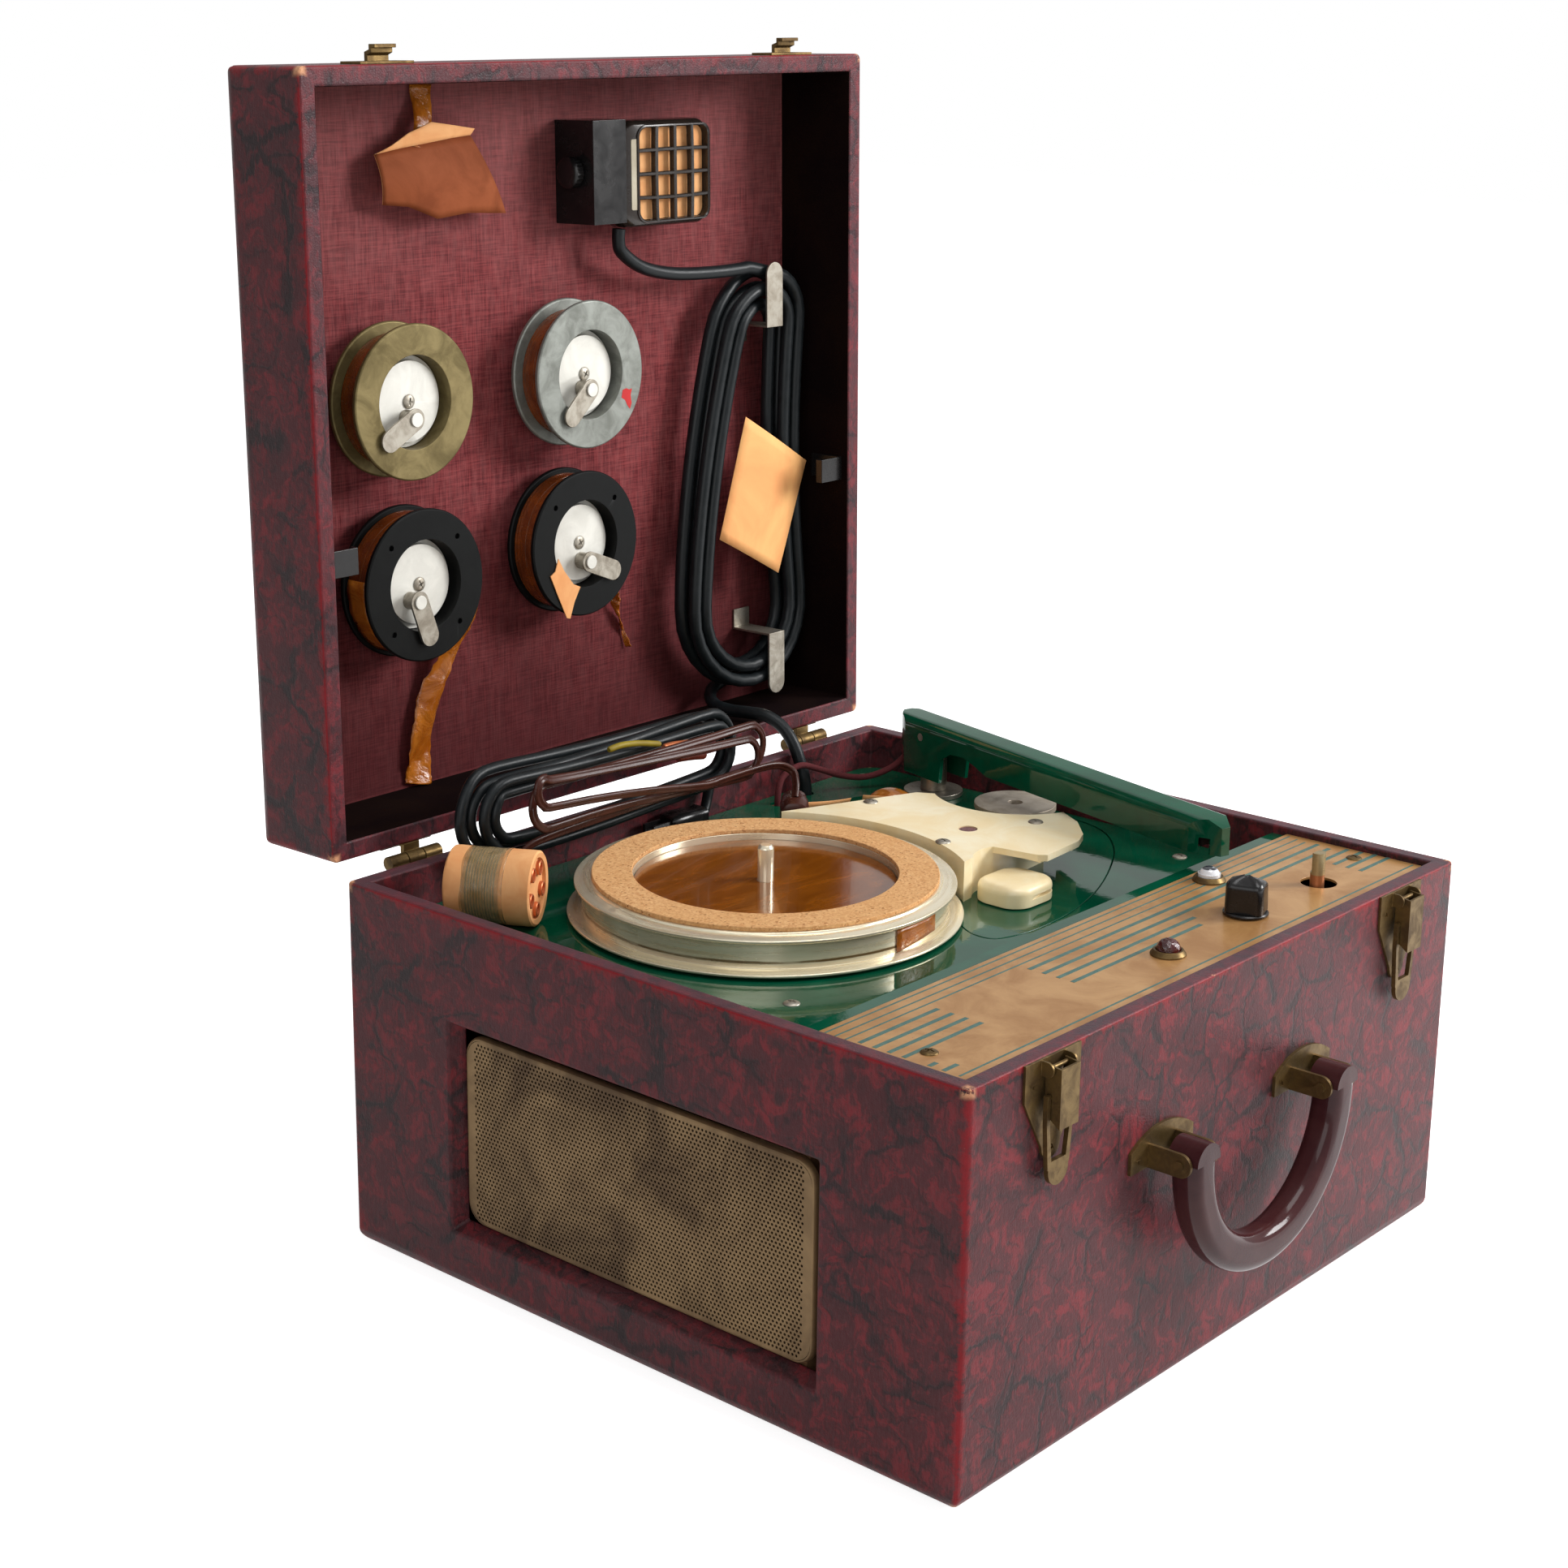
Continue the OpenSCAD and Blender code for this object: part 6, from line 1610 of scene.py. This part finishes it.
class ControlPanel(Assembly):
    """Gilt panel with stripes, lamps, pointer knob and bare shaft."""

    def build(self) -> None:
        """Dresses and makes the panel pieces."""
        self.dress(
            (Body.CASE, "control_panel", "panel", 0.2),
            (Body.CASE, "jewel_bezels", "brass", 0.2),
            (Body.CASE, "eye_lamp", "eye"))
        self.selector()
        self.refine(Body.VOLUME, "volume_shaft", self.f.shaft, 0.3)
        self.jewel()
        self.print_stripes()

    def jewel(self) -> None:
        """Cuts the red pilot jewel with rows of facets."""
        bm = bmesh.new()
        sides = 10
        loops = []
        for k, (radius, height) in enumerate(((5.1, 0.4), (5.1, 3.0), (4.7, 4.4), (3.5, 5.8),
                                              (1.7, 6.7))):
            facets = circle(radius, sides, math.pi / sides * (k % 2))
            loops.append([Vector((-5 + x, -139 + y, PANEL_Z + height)) * MM for x, y in facets])
        loft(bm, loops)
        bmesh.ops.triangulate(bm, faces=[f for f in bm.faces if len(f.verts) == 4])
        obj = from_bmesh(bm, "pilot_jewel_cut", self.f.jewel, crease=1)
        self.ride(obj, Body.CASE)
        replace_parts(obj, "pilot_jewel")

    def selector(self) -> None:
        """Makes the glossy pointer knob on its metal skirt."""
        x0, y0 = 60.0, -135.5
        bm = bmesh.new()
        lathe(bm, ((3.1, 0.5), (9.2, 0.5), (9.8, 0.8), (9.8, 1.3), (9.3, 1.8), (3.1, 1.8)), 64,
              (x0, y0, PANEL_Z))
        lathe(bm, ((0.0, -12.0), (3.1, -12.0), (3.1, 4.0), (0.0, 4.0)), 32, (x0, y0, PANEL_Z))
        for face in bm.faces:
            face.material_index = 1
        first = len(bm.faces)
        loops = []
        for k in range(15):
            t = k / 14
            edge = 1 - max(0.0, (t - 0.72) / 0.28) ** 2.6 * 0.82
            ring = []
            for x, y in rounded(17.0, 17.0, 4.6, 7):
                slope = 13.6 + 2.6 * math.cos((x / 8.5 - 0.25) * 1.35)
                flat = min(x, 7.6) if t < 0.95 else x
                ring.append(Vector((flat * edge + 0.9 * (t - 0.5), y * (edge - 0.05 * t),
                                    2.0 + slope * t)))
            loops.append(ring)
        turn = Matrix.Translation((x0, y0, PANEL_Z)) @ Matrix.Rotation(math.radians(200), 4, "Z")
        loft(bm, [[(turn @ p) * MM for p in ring] for ring in loops])
        bm.faces.ensure_lookup_table()
        for face in bm.faces[first:]:
            face.material_index = 0
        knob = self.ride(from_bmesh(bm, "selector_pointer", self.f.bakelite, self.f.brass,
                                    crease=40),
                         Body.SELECTOR)
        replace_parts(knob, "selector_knob")

    def print_stripes(self) -> None:
        """Prints the thin lines along the edges and the stepped groups of thick ones."""
        tree = self.repeats.stripes()
        groups = (
            ("stripes_back", (-167, -92.0), 3, -5.0, 336.0, -1.5, 0.9),
            ("stripes_left", (-166, -108.0), 4, -7.0, 48.0, 0.0, 2.1),
            ("stripes_long", (-58.5, -108.0), 2, -7.0, 226.0, -2.0, 2.1),
            ("stripes_middle", (-58.5, -122.0), 2, -7.0, 100.0, -6.0, 2.1),
            ("stripes_right", (146, -122.0), 4, -6.6, 24.0, 1.0, 2.1),
            ("stripes_corner", (-166, -141.0), 2, -6.6, 4.5, 4.0, 2.1),
            ("stripes_front", (-166, -155.0), 1, -5.0, 336.0, 0.0, 1.0),
        )
        for name, at, count, pitch, length, change, wide in groups:
            sizes = {"Count": count, "Pitch": pitch * MM, "Length": length * MM,
                     "Change": change * MM, "Width": wide * MM, "Depth": 0.1 * MM}
            place = Matrix.Translation((at[0] * MM, at[1] * MM, (PANEL_Z + 0.03) * MM))
            self.ride(self.repeats.grow(name, tree, self.f.stripe, sizes, matrix=place), Body.CASE)


class Fittings(Assembly):
    """Latches, carrying handle and hinges."""

    def build(self) -> None:
        """Dresses the metal fittings and the handle."""
        self.dress(
            (Body.CASE, "latch_plates", "brass", 0.25),
            (Body.LEVER_LEFT, "latch_lever_left", "brass", 0.3),
            (Body.LEVER_RIGHT, "latch_lever_right", "brass", 0.3),
            (Body.LINK_LEFT, "latch_link_left", "brass", 0.3),
            (Body.LINK_RIGHT, "latch_link_right", "brass", 0.3),
            (Body.CASE, "handle_plates", "brass", 0.25),
            (Body.HANDLE, "handle", "handle", 1.6, 4, 36),
            (Body.CASE, "hinge_base_leaves", "brass", 0.2),
            (Body.LID, "hinge_lid_leaves", "brass", 0.2))
        self.rivets()

    def rivets(self) -> None:
        """Sets the domed rivets of latch and handle plates."""
        tree = self.repeats.screws()
        turn = (Matrix.Translation((0, (-HALF_D - 1.2) * MM, 0))
                @ Matrix.Rotation(math.radians(90), 4, "X"))
        latch, grip = [], []
        for s in (-1, 1):
            latch += [(s * 130 - 13.5, RIM - 9), (s * 130 + 13.5, RIM - 9), (s * 130, RIM - 37)]
            grip += [(s * 53.25 - 17.5, 108.5), (s * 53.25 + 17.5, 108.5)]
        for name, places, radius in (("latch_rivets", latch, 2.3), ("handle_rivets", grip, 2.9)):
            sizes = {"Radius": radius * MM, "Rise": 0.8 * MM, "Slot": 0.0001 * MM}
            rivets = self.repeats.grow(name, tree, self.f.brass, sizes,
                                       [(x, z, 0) for x, z in places], matrix=turn)
            self.ride(rivets, Body.CASE)


class Lid(Assembly):
    """Open lid with its covering, lining, catches and clips."""

    def build(self) -> None:
        """Dresses the lid."""
        obj = self.refine(Body.LID, "lid_shell", self.f.lid, 1.2, 3)
        back = LID_TO_ROW.inverted()

        def drawn(piece: bpy.types.Object, face: bpy.types.MeshPolygon) -> list:
            """Returns the corners of a face in closed lid millimetres."""
            return [back @ piece.data.vertices[i].co / MM for i in face.vertices]

        def inner(face: bpy.types.MeshPolygon) -> bool:
            """Tells whether a face belongs to the inside of the lid."""
            return all(abs(p.x) < HALF_W - 8.5 and abs(p.y) < HALF_D - 8.5 and p.z < ROOF + 0.1
                       for p in drawn(obj, face))

        def roof(face: bpy.types.MeshPolygon) -> bool:
            """Tells whether a face lies as high as the lining."""
            return all(p.z > ROOF - 0.2 for p in drawn(obj, face))

        self.recolour(obj, self.f.lining, lambda face: inner(face) and roof(face))
        # The inner walls take the near-black finish, painted shade for the shadow they lie in.
        self.recolour(obj, self.f.wall, lambda face: inner(face) and not roof(face))
        self.refine(Body.LID, "lid_catches", self.f.brass, 0.25)
        clips = self.refine(Body.LID, "lid_clips", self.f.steel, 0.3)
        self.recolour(clips, self.f.bakelite,
                      lambda face: all(abs(p.x) > 153.5 for p in drawn(clips, face)))


class Spools(Assembly):
    """Four spools on their holders, with keepers and windings."""

    places = ((-105.0, -23.0), (5.5, -24.5), (-102.5, 60.3), (0.0, 56.0))
    face = ROOF - 6.4 - 18.6

    def build(self) -> None:
        """Dresses the spools and winds them."""
        self.refine(Body.LID, "reel_holders", self.f.alloy, 0.25)
        keepers = (Body.KEEPER_1, Body.KEEPER_2, Body.KEEPER_3, Body.KEEPER_4)
        for number, body in enumerate(keepers, 1):
            self.refine(body, f"keeper_{number}", self.f.steel, 0.3)
        self.dress(
            (Body.LID, "reel_brass", "reel_brass", 0.3),
            (Body.LID, "reel_zinc", "zinc", 0.3),
            (Body.LID, "reels_black", "reel_black", 0.3))
        tree = self.repeats.rings()
        for i, (x, y) in enumerate(self.places):
            wide = 30.0 if i < 2 else 32.5
            matrix = LID_TO_ROW @ Matrix.Translation((x * MM, y * MM, (self.face + 3.4) * MM))
            obj = self.repeats.grow(f"winding_{i + 1}", tree, self.f.winding, {
                "Count": 16, "Pitch": 0.8 * MM, "Radius": (wide - 0.7) * MM, "Strand": 0.62 * MM,
                "Wobble": 0.35 * MM}, matrix=matrix, crease=60)
            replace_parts(self.ride(obj, Body.LID), "reel_windings")
        over = Matrix.Rotation(math.pi, 4, "X")
        heads = self.repeats.grow("holder_screws", self.repeats.screws(), self.f.steel, {
            "Radius": 3.3 * MM, "Rise": 0.9 * MM, "Slot": 0.85 * MM, "Spin": 0.3},
            [(x, -y, 0) for x, y in self.places],
            matrix=LID_TO_ROW @ Matrix.Translation((0, 0, (self.face + 4.6) * MM)) @ over)
        self.ride(heads, Body.LID)
        self.marks()

    def flake(self, name: str, outline: Sequence[Point], material: bpy.types.Material,
              height: float, thick: float = 0.3) -> bpy.types.Object:
        """Lays a thin cut flake on the fronts of the spools, drawn in closed lid millimetres."""
        bm = bmesh.new()
        loops = [[in_lid(x, y, height + z) for x, y in outline] for z in (0.0, thick)]
        loft(bm, loops)
        return self.ride(from_bmesh(bm, name, material), Body.LID)

    def marks(self) -> None:
        """Adds the red paint mark, the film on a chipped spool and the peach scrap."""
        x, y = self.places[1]
        self.flake("red_mark", [(x + a, y + b) for a, b in (
            (21, 9.4), (23.4, 8.8), (25.6, 9.6), (27.4, 9.2), (26.4, 12.4), (27, 16.2), (25.8, 19),
            (24, 17), (22.6, 14.4), (20.2, 13))], self.f.paint_red, self.face - 0.08, 0.12)
        x, y = self.places[3]
        self.flake("peach_scrap", [(x + a, y + b) for a, b in (
            (-19.4, 4.5), (-15.8, 10.8), (-9.8, 18.2), (-5.2, 20.2), (-9.4, 27), (-12.4, 34.6),
            (-14.6, 34), (-20.8, 21), (-24.8, 12.2), (-21.6, 10.4))],
                   self.f.peach, self.face - 0.7, 0.5)
        x, y = self.places[2]
        grid = []
        for i in range(9):
            a, radius = math.radians(120 + 70 * i / 8), 33.2 + 0.4 * math.sin(3 * i)
            grid.append([in_lid(x + radius * math.cos(a), y + radius * math.sin(a),
                                self.face + 3.2 + 12.4 * j / 4)
                         for j in range(5)])
        self.ride(patch("loose_turn", self.f.film, grid, 0.3), Body.LID)


class Microphone(Assembly):
    """Hand microphone with a barrel shaped face, in its clamp.

    Attributes:
        middle: middle of the housing in closed lid millimetres.
        back: height of its back over the rim.
        bow: how much its face curves back, as a share of the square of the way from its middle.
        grid_shift: how far the grid lies to the right of the middle.
    """

    middle = (61.0, -116.0)
    back = 37.0
    bow = 0.0022
    grid_shift = 4.0

    def barrel(self, width: float, height: float, radius: float, bulge: float,
               steps: int = 8) -> list:
        """Returns a rounded rectangle whose four sides bow outwards."""
        points = []
        for x, y in rounded(width, height, radius, steps):
            u, v = 2 * x / width, 2 * y / height
            points.append((x * (1 + bulge * (1 - v * v)), y * (1 + bulge * 0.8 * (1 - u * u))))
        return points

    def ring(self, width: float, height: float, radius: float, z: float,
             shift: float = 0.0) -> list:
        """Returns one barrel loop of the housing in the row frame, in metres."""
        x0, y0 = self.middle
        return [in_lid(x0 + shift + x, y0 - y, z + self.bow * (x + shift) ** 2)
                for x, y in self.barrel(width, height, radius, 0.035)]

    def build(self) -> None:
        """Dresses the clamp and makes the microphone."""
        self.refine(Body.LID, "mic_clamp", self.f.bakelite, 0.5)
        self.screw()
        self.housing()
        self.grid()

    def screw(self) -> None:
        """Makes the ribbed thumbscrew of the clamp."""
        bm = bmesh.new()
        loops = []
        section = ((-20.0, 2.5), (0.2, 2.5), (0.2, 6.2), (0.8, 7.0), (4.6, 7.0), (5.4, 6.4),
                   (5.8, 5.0), (5.9, 2.0))
        for z, radius in section:
            ribs = [radius + (0.35 if radius > 6.5 and k % 2 else 0.0) for k in range(48)]
            loops.append([Vector((r * x, r * y, z)) * MM
                          for r, (x, y) in zip(ribs, circle(1.0, 48))])
        loft(bm, loops)
        matrix = (LID_TO_ROW @ Matrix.Translation((8.7 * MM, -118 * MM, 33 * MM))
                  @ Matrix.Rotation(math.radians(-90), 4, "Y"))
        obj = self.ride(from_bmesh(bm, "mic_thumbscrew_round", self.f.bakelite, matrix=matrix),
                        Body.THUMBSCREW)
        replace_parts(obj, "mic_thumbscrew")

    def housing(self) -> None:
        """Makes the housing with its raised frame round the grid."""
        bm = bmesh.new()
        body = ((58.0, 47.0, 7.0, self.back), (61.0, 49.6, 8.0, self.back - 3),
                (61.0, 49.6, 8.0, 25.0), (60.0, 48.8, 7.6, 22.8), (57.6, 47.0, 6.6, 21.2),
                (56.0, 46.0, 6.0, 20.8))
        rim = ((51.4, 45.6, 5.2, 20.5), (51.0, 45.2, 5.0, 19.9), (49.4, 44.0, 4.6, 19.7),
               (48.0, 43.0, 4.0, 20.2), (48.0, 43.0, 4.0, 24.6))
        loft(bm, [self.ring(*row) for row in body]
             + [self.ring(*row, self.grid_shift) for row in rim])
        block = ((40, -132), (80, -132), (80, -100), (40, -100))
        loft(bm, [[in_lid(x, y, z) for x, y in block] for z in (36, ROOF - 0.05)])
        obj = self.ride(from_bmesh(bm, "mic_housing", self.f.mic, crease=34), Body.LID)
        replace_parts(obj, "mic_body")
        bm = bmesh.new()
        outline = [(38.0 + x, -116.0 + y) for x, y in rounded(4.6, 33.0, 0.8, 3)]
        loft(bm, [[in_lid(x, y, z + self.bow * (x - 61) ** 2) for x, y in outline]
                  for z in (20.75, 20.35)])
        self.ride(from_bmesh(bm, "mic_label_bare", self.f.label), Body.LID)

    def grid(self) -> None:
        """Makes the peach board and the bars in front of it."""
        x0, y0 = self.middle[0] + self.grid_shift, self.middle[1]
        bm = bmesh.new()
        loft(bm, [self.ring(47.6, 42.6, 4.0, z, self.grid_shift) for z in (24.0, 24.5)])
        self.ride(from_bmesh(bm, "mic_board", self.f.peach), Body.LID)
        bm = bmesh.new()
        for k in range(3):
            for upright in (True, False):
                away = (-12.4 + 12.4 * k) if upright else (-10.9 + 10.9 * k)
                half = 22.2 if upright else 25.2
                loops = []
                for i in range(13):
                    t = -1 + i / 6
                    bow = away * (1 + 0.035 * (1 - t * t))
                    x, y = (bow, half * t) if upright else (half * t, bow)
                    z = 20.3 + self.bow * (x + self.grid_shift) ** 2
                    loop = []
                    for a, b in ((-0.9, 0.5), (-0.55, 0.0), (0.55, 0.0), (0.9, 0.5), (0.9, 3.4),
                                 (-0.9, 3.4)):
                        px, py = (x + a, y) if upright else (x, y + a)
                        loop.append(in_lid(x0 + px, y0 + py, z + b))
                    loops.append(loop)
                loft(bm, loops)
        self.ride(from_bmesh(bm, "mic_bars", self.f.mic), Body.LID)


class LooseThings(Assembly):
    """Card scraps, loose tapes, the taped roll and the amber piece."""

    def build(self) -> None:
        """Makes the loose things."""
        self.roll()
        self.amber()
        self.tag()
        self.scrap()
        self.tapes()
        self.strips()
        self.splices()

    def roll(self) -> None:
        """Makes the papered roll with its clear wrap, the wire in it and the copper tube ends."""
        matrix = (Matrix.Translation((-145 * MM, 140 * MM, (DECK_Z + 17) * MM))
                  @ Matrix.Rotation(math.atan2(-34, 20), 4, "Z")
                  @ Matrix.Rotation(math.radians(90), 4, "Y"))
        bm = bmesh.new()
        loops = []
        chance = random.Random(4)
        bumps = [[chance.uniform(-1, 1) for _ in range(5)] for _ in range(14)]
        section = ((0.2, 13.5), (0.3, 15.8), (1.2, 16.7), (4, 16.8), (8.5, 16.6), (9, 15.7),
                   (19, 15.5), (25, 15.7), (25.5, 16.6), (31, 16.8), (36, 16.8), (38.6, 16.6),
                   (39.2, 15.8), (38.8, 13.6))
        for (z, radius), bump in zip(section, bumps):
            ring = []
            for k in range(60):
                a = 2 * math.pi * k / 60
                rough = sum(0.09 * bump[n] * math.sin((n + 2) * a + 1.7 * n) for n in range(5))
                ring.append(Vector(((radius + rough) * math.cos(a),
                                    (radius + rough) * math.sin(a), z)) * MM)
            loops.append(ring)
        loops.append([Vector((x, y, 37.2)) * MM for x, y in circle(13.2, 60)])
        loft(bm, loops)
        for face in bm.faces:
            middle = face.calc_center_median() / MM
            if 9.5 < middle.z < 24.8 and len(face.verts) == 4:
                face.material_index = 1
            elif middle.z > 36.5 and len(face.verts) > 4:
                face.material_index = 2
        paper = from_bmesh(bm, "taped_roll", self.f.peach, self.f.winding, self.f.dark,
                           matrix=matrix)
        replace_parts(self.ride(paper, Body.CASE), "wrapped_roll")
        rings = self.repeats.grow("roll_wire", self.repeats.rings(), self.f.dark, {
            "Count": 11, "Pitch": 1.25 * MM, "Radius": 15.7 * MM, "Strand": 0.42 * MM,
            "Wobble": 0.2 * MM},
            matrix=matrix @ Matrix.Translation((0, 0, 10.6 * MM)), crease=60)
        self.ride(rings, Body.CASE)
        bm = bmesh.new()
        profile = ((16.45, 7.6), (16.75, 8.6), (16.6, 12), (16.75, 17), (16.6, 22), (16.8, 25.6),
                   (16.95, 26.8), (16.8, 27.2), (16.3, 26), (16.2, 17), (16.2, 8.4))
        lathe(bm, profile, 60)
        self.ride(from_bmesh(bm, "roll_wrap", self.f.wrap, matrix=matrix), Body.CASE)
        bm = bmesh.new()
        for k in range(5):
            a = math.radians(72 * k)
            at = (9.5 * math.cos(a), 9.5 * math.sin(a), 35.5)
            lathe(bm, ((3.3, 0.0), (3.3, 3.2), (2.9, 3.5), (2.3, 3.3), (2.2, 1.2), (0.0, 1.1),
                       (0.0, 0.0)),
                  20, at)
        self.ride(from_bmesh(bm, "roll_tubes", self.f.copper, matrix=matrix), Body.CASE)

    def amber(self) -> None:
        """Makes the smooth egg shaped amber piece."""
        bm = bmesh.new()
        loops = []
        for k in range(15):
            t = k / 14
            swell = math.sin(math.pi * (0.04 + 0.92 * t)) ** 0.6 * (1.06 - 0.22 * t)
            loops.append([Vector((8.6 * swell * max(-0.1, x), 9.6 * swell * y, 0.4 + 25.2 * t)) * MM
                          for x, y in circle(1.0, 36)])
        loft(bm, loops)
        matrix = (Matrix.Translation((116 * MM, 118 * MM, (DECK_Z + 0.9) * MM))
                  @ Matrix.Rotation(math.radians(-64), 4, "Z")
                  @ Matrix.Rotation(math.radians(90), 4, "Y")
                  @ Matrix.Rotation(math.radians(180), 4, "Z"))
        obj = self.ride(from_bmesh(bm, "amber_egg", self.f.amber, matrix=matrix, crease=60),
                        Body.CASE)
        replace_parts(obj, "amber_piece")

    def tag(self) -> None:
        """Bends the instruction card, left bare."""
        corners = [(117, 8), (164, 36), (141, 92), (96, 68)]
        grid = []
        for i in range(13):
            row = []
            for j in range(9):
                u, v = i / 12, j / 8
                a = Vector(corners[0]).lerp(Vector(corners[1]), v)
                b = Vector(corners[3]).lerp(Vector(corners[2]), v)
                p = a.lerp(b, u)
                row.append(in_lid(p.x, p.y,
                                  22.3 - 0.8 * math.sin(math.pi * v) + 0.3 * math.cos(math.pi * u)))
            grid.append(row)
        obj = self.ride(patch("card_tag", self.f.tag, grid, 0.35), Body.LID)
        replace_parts(obj, "instruction_tag")

    def between(self, low: Sequence[Point], high: Sequence[Point], rows: int, columns: int,
                shape: Callable[[float, float], float]) -> list:
        """Returns a grid of points in metres between two lines drawn in closed lid millimetres.

        Args:
            low: points of the first line.
            high: points of the second line, as many as of the first.
            rows: steps from the first line to the second.
            columns: steps along the lines.
            shape: height over the closed rim from the shares along and across.

        Returns:
            Rows of points.
        """
        grid = []
        for i in range(rows + 1):
            row = []
            for j in range(columns + 1):
                t = j / columns * (len(low) - 1)
                k = min(int(t), len(low) - 2)
                a = Vector(low[k]).lerp(Vector(low[k + 1]), t - k)
                b = Vector(high[k]).lerp(Vector(high[k + 1]), t - k)
                p = a.lerp(b, i / rows)
                row.append(in_lid(p.x, p.y, shape(i / rows, j / columns)))
            grid.append(row)
        return grid

    def scrap(self) -> None:
        """Makes the torn folded card that hangs from a strip of tape."""
        fold = [(-109.4, -130.9), (-95, -133.2), (-79, -135.0), (-66, -136.4), (-52.4, -137.3)]
        torn = [(-106.8, -110.5), (-93.5, -106.4), (-77, -103.2), (-58, -102.2), (-32.6, -101.4)]
        ragged = [(x, y + (1.5, -1.2, 1.8, -0.8, 0)[k]) for k, (x, y) in enumerate(torn)]

        def front(i: float, j: float) -> float:
            """Returns the height of the bellied front."""
            return 40.5 - 5.5 * math.sin(math.pi * (0.15 + 0.6 * i)) - 2.5 * math.sin(math.pi * j)

        card = self.between(fold, ragged, 10, 24, front)
        self.ride(patch("torn_card", self.f.peach, card, 0.5, self.f.printed), Body.LID)
        top = [(-104, -132.6), (-92, -139.5), (-79, -143.9), (-66, -142.2), (-50.8, -140.1)]

        def flap(i: float, j: float) -> float:
            """Returns the height of the folded flap."""
            return front(0, j) - 0.4 - 1.2 * i

        self.ride(patch("card_flap", self.f.peach, self.between(fold, top, 4, 24, flap), 0.5),
                  Body.LID)
        left = [(-81.6, -160.2), (-82.0, -152), (-84.5, -143), (-89, -133.5)]
        right = [(-68.6, -160.0), (-70.6, -151), (-74.5, -141.5), (-77, -132)]

        def hang(i: float, j: float) -> float:
            """Returns the height of the tape that the card hangs from."""
            return 44.6 - 9.8 * j ** 1.5 + 0.5 * math.sin(9 * j)

        self.ride(patch("card_tape", self.f.film, self.between(left, right, 4, 12, hang), 0.15),
                  Body.LID)

    def tapes(self) -> None:
        """Hangs the loose amber tapes below the black spools."""
        for name, line, width in (
                ("tape_left",
                 ((-69, 74, 30), (-70, 86, 33), (-76, 100, 38), (-84, 116, 41), (-88, 132, 43),
                  (-91, 150, 43.5), (-92, 160, 43)), 14.5),
                ("tape_right",
                 ((31, 66, 32), (35, 78, 36), (38, 88, 40), (42, 98, 43), (47, 108, 44),
                  (51, 119, 44)), 6.0)):
            grid = []
            chance = random.Random(11)
            points = Lay.route([Vector(p) for p in line], 7)
            for i, p in enumerate(points):
                t = i / (len(points) - 1)
                ragged = 0.72 + 0.3 * t + 0.08 * math.sin(11 * t)
                w = width * (ragged if name == "tape_left" else 1 - 0.75 * t)
                fold = chance.uniform(-0.9, 0.9)
                row = []
                for j in range(8):
                    u = j / 7 - 0.5
                    crumple = 1.5 * math.sin(13 * t + 3.4 * u) + fold * math.cos(5 * u)
                    crumple += chance.uniform(-0.25, 0.25)
                    row.append(in_lid(p.x + w * u, p.y + (0.16 * w + fold) * u,
                                      min(45.4, p.z - crumple)))
                grid.append(row)
            self.ride(patch(name, self.f.film, grid, 0.25), Body.LID)

    def strips(self) -> None:
        """Lays the peach paper strips beside the cover and the amber film on the drum."""
        for name, a, b, high in (("paper_strip_1", (70, 124), (101, 119), 9.0),
                                 ("paper_strip_2", (104, 112), (133, 92), 8.0)):
            start, end = Vector((*a, DECK_Z)), Vector((*b, DECK_Z))
            across = (end - start).normalized().cross(Vector((0, 0, 1)))
            grid = []
            for t in (i / 10 for i in range(11)):
                row = []
                for j in range(5):
                    aside = across * (2.4 * math.sin(2.6 * t) + (j - 2) * 0.9)
                    up = Vector((0, 0, 0.7 + high * j / 4 * (1 - 0.35 * t)))
                    row.append((start.lerp(end, t) + aside + up) * MM)
                grid.append(row)
            self.ride(patch(name, self.f.peach, grid, 0.35), Body.CASE)
        grid = []
        for i in range(9):
            a = math.radians(-96 + 20 * i / 8)
            low = 3.4 + 2.4 * math.sin(math.pi * i / 16)
            grid.append([Vector((DRUM[0] + 82.0 * math.cos(a), DRUM[1] + 82.0 * math.sin(a),
                                 DECK_Z + low + (13.6 - low) * j / 4)) * MM for j in range(5)])
        self.ride(patch("drum_film", self.f.film, grid, 0.25), Body.TURNTABLE)

    def splices(self) -> None:
        """Puts the mustard sleeve and the two red brown prongs between the hanks."""
        for name, points, radius, material in (
                ("splice_sleeve",
                 ((-48, 139, 209.5), (-40, 138.6, 210.2), (-28, 139, 208.6), (-14, 139, 205.4)),
                 1.5, self.f.mustard),
                ("splice_prong_1", ((-11, 139, 202.7), (-4, 139, 202.6), (6.5, 139, 201.4)), 2.1,
                 self.f.copper),
                ("splice_prong_2", ((-1.6, 139, 196.2), (8, 139, 195.2), (17, 139, 193.8)), 2.3,
                 self.f.red_brown)):
            path = Lay.route([Vector(p) * MM for p in points], 6)
            bm = bmesh.new()
            last = len(path) - 1
            sweep(bm, path, lambda i: circle(radius * (0.8 if i in (0, last) else 1.0) * MM, 12))
            self.ride(from_bmesh(bm, name, material, crease=60), Body.CASE)


def main() -> None:
    """Builds the studio, the cords and every sub-assembly in order."""
    logging.basicConfig(level=logging.INFO, format="%(name)s: %(message)s")
    random.seed(5)
    scene = bpy.context.scene
    scene.view_settings.view_transform = "Standard"
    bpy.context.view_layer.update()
    studio = Studio()
    studio.camera()
    finishes = Finishes()
    Cords(finishes).build()
    repeats = Repeats()
    for part in (Case, Deck, ToneArm, ControlPanel, Fittings, Lid, Spools, Microphone, LooseThings):
        part(finishes, repeats).build()
    studio.lights()
    studio.floor()


if __name__ == "__main__":
    main()
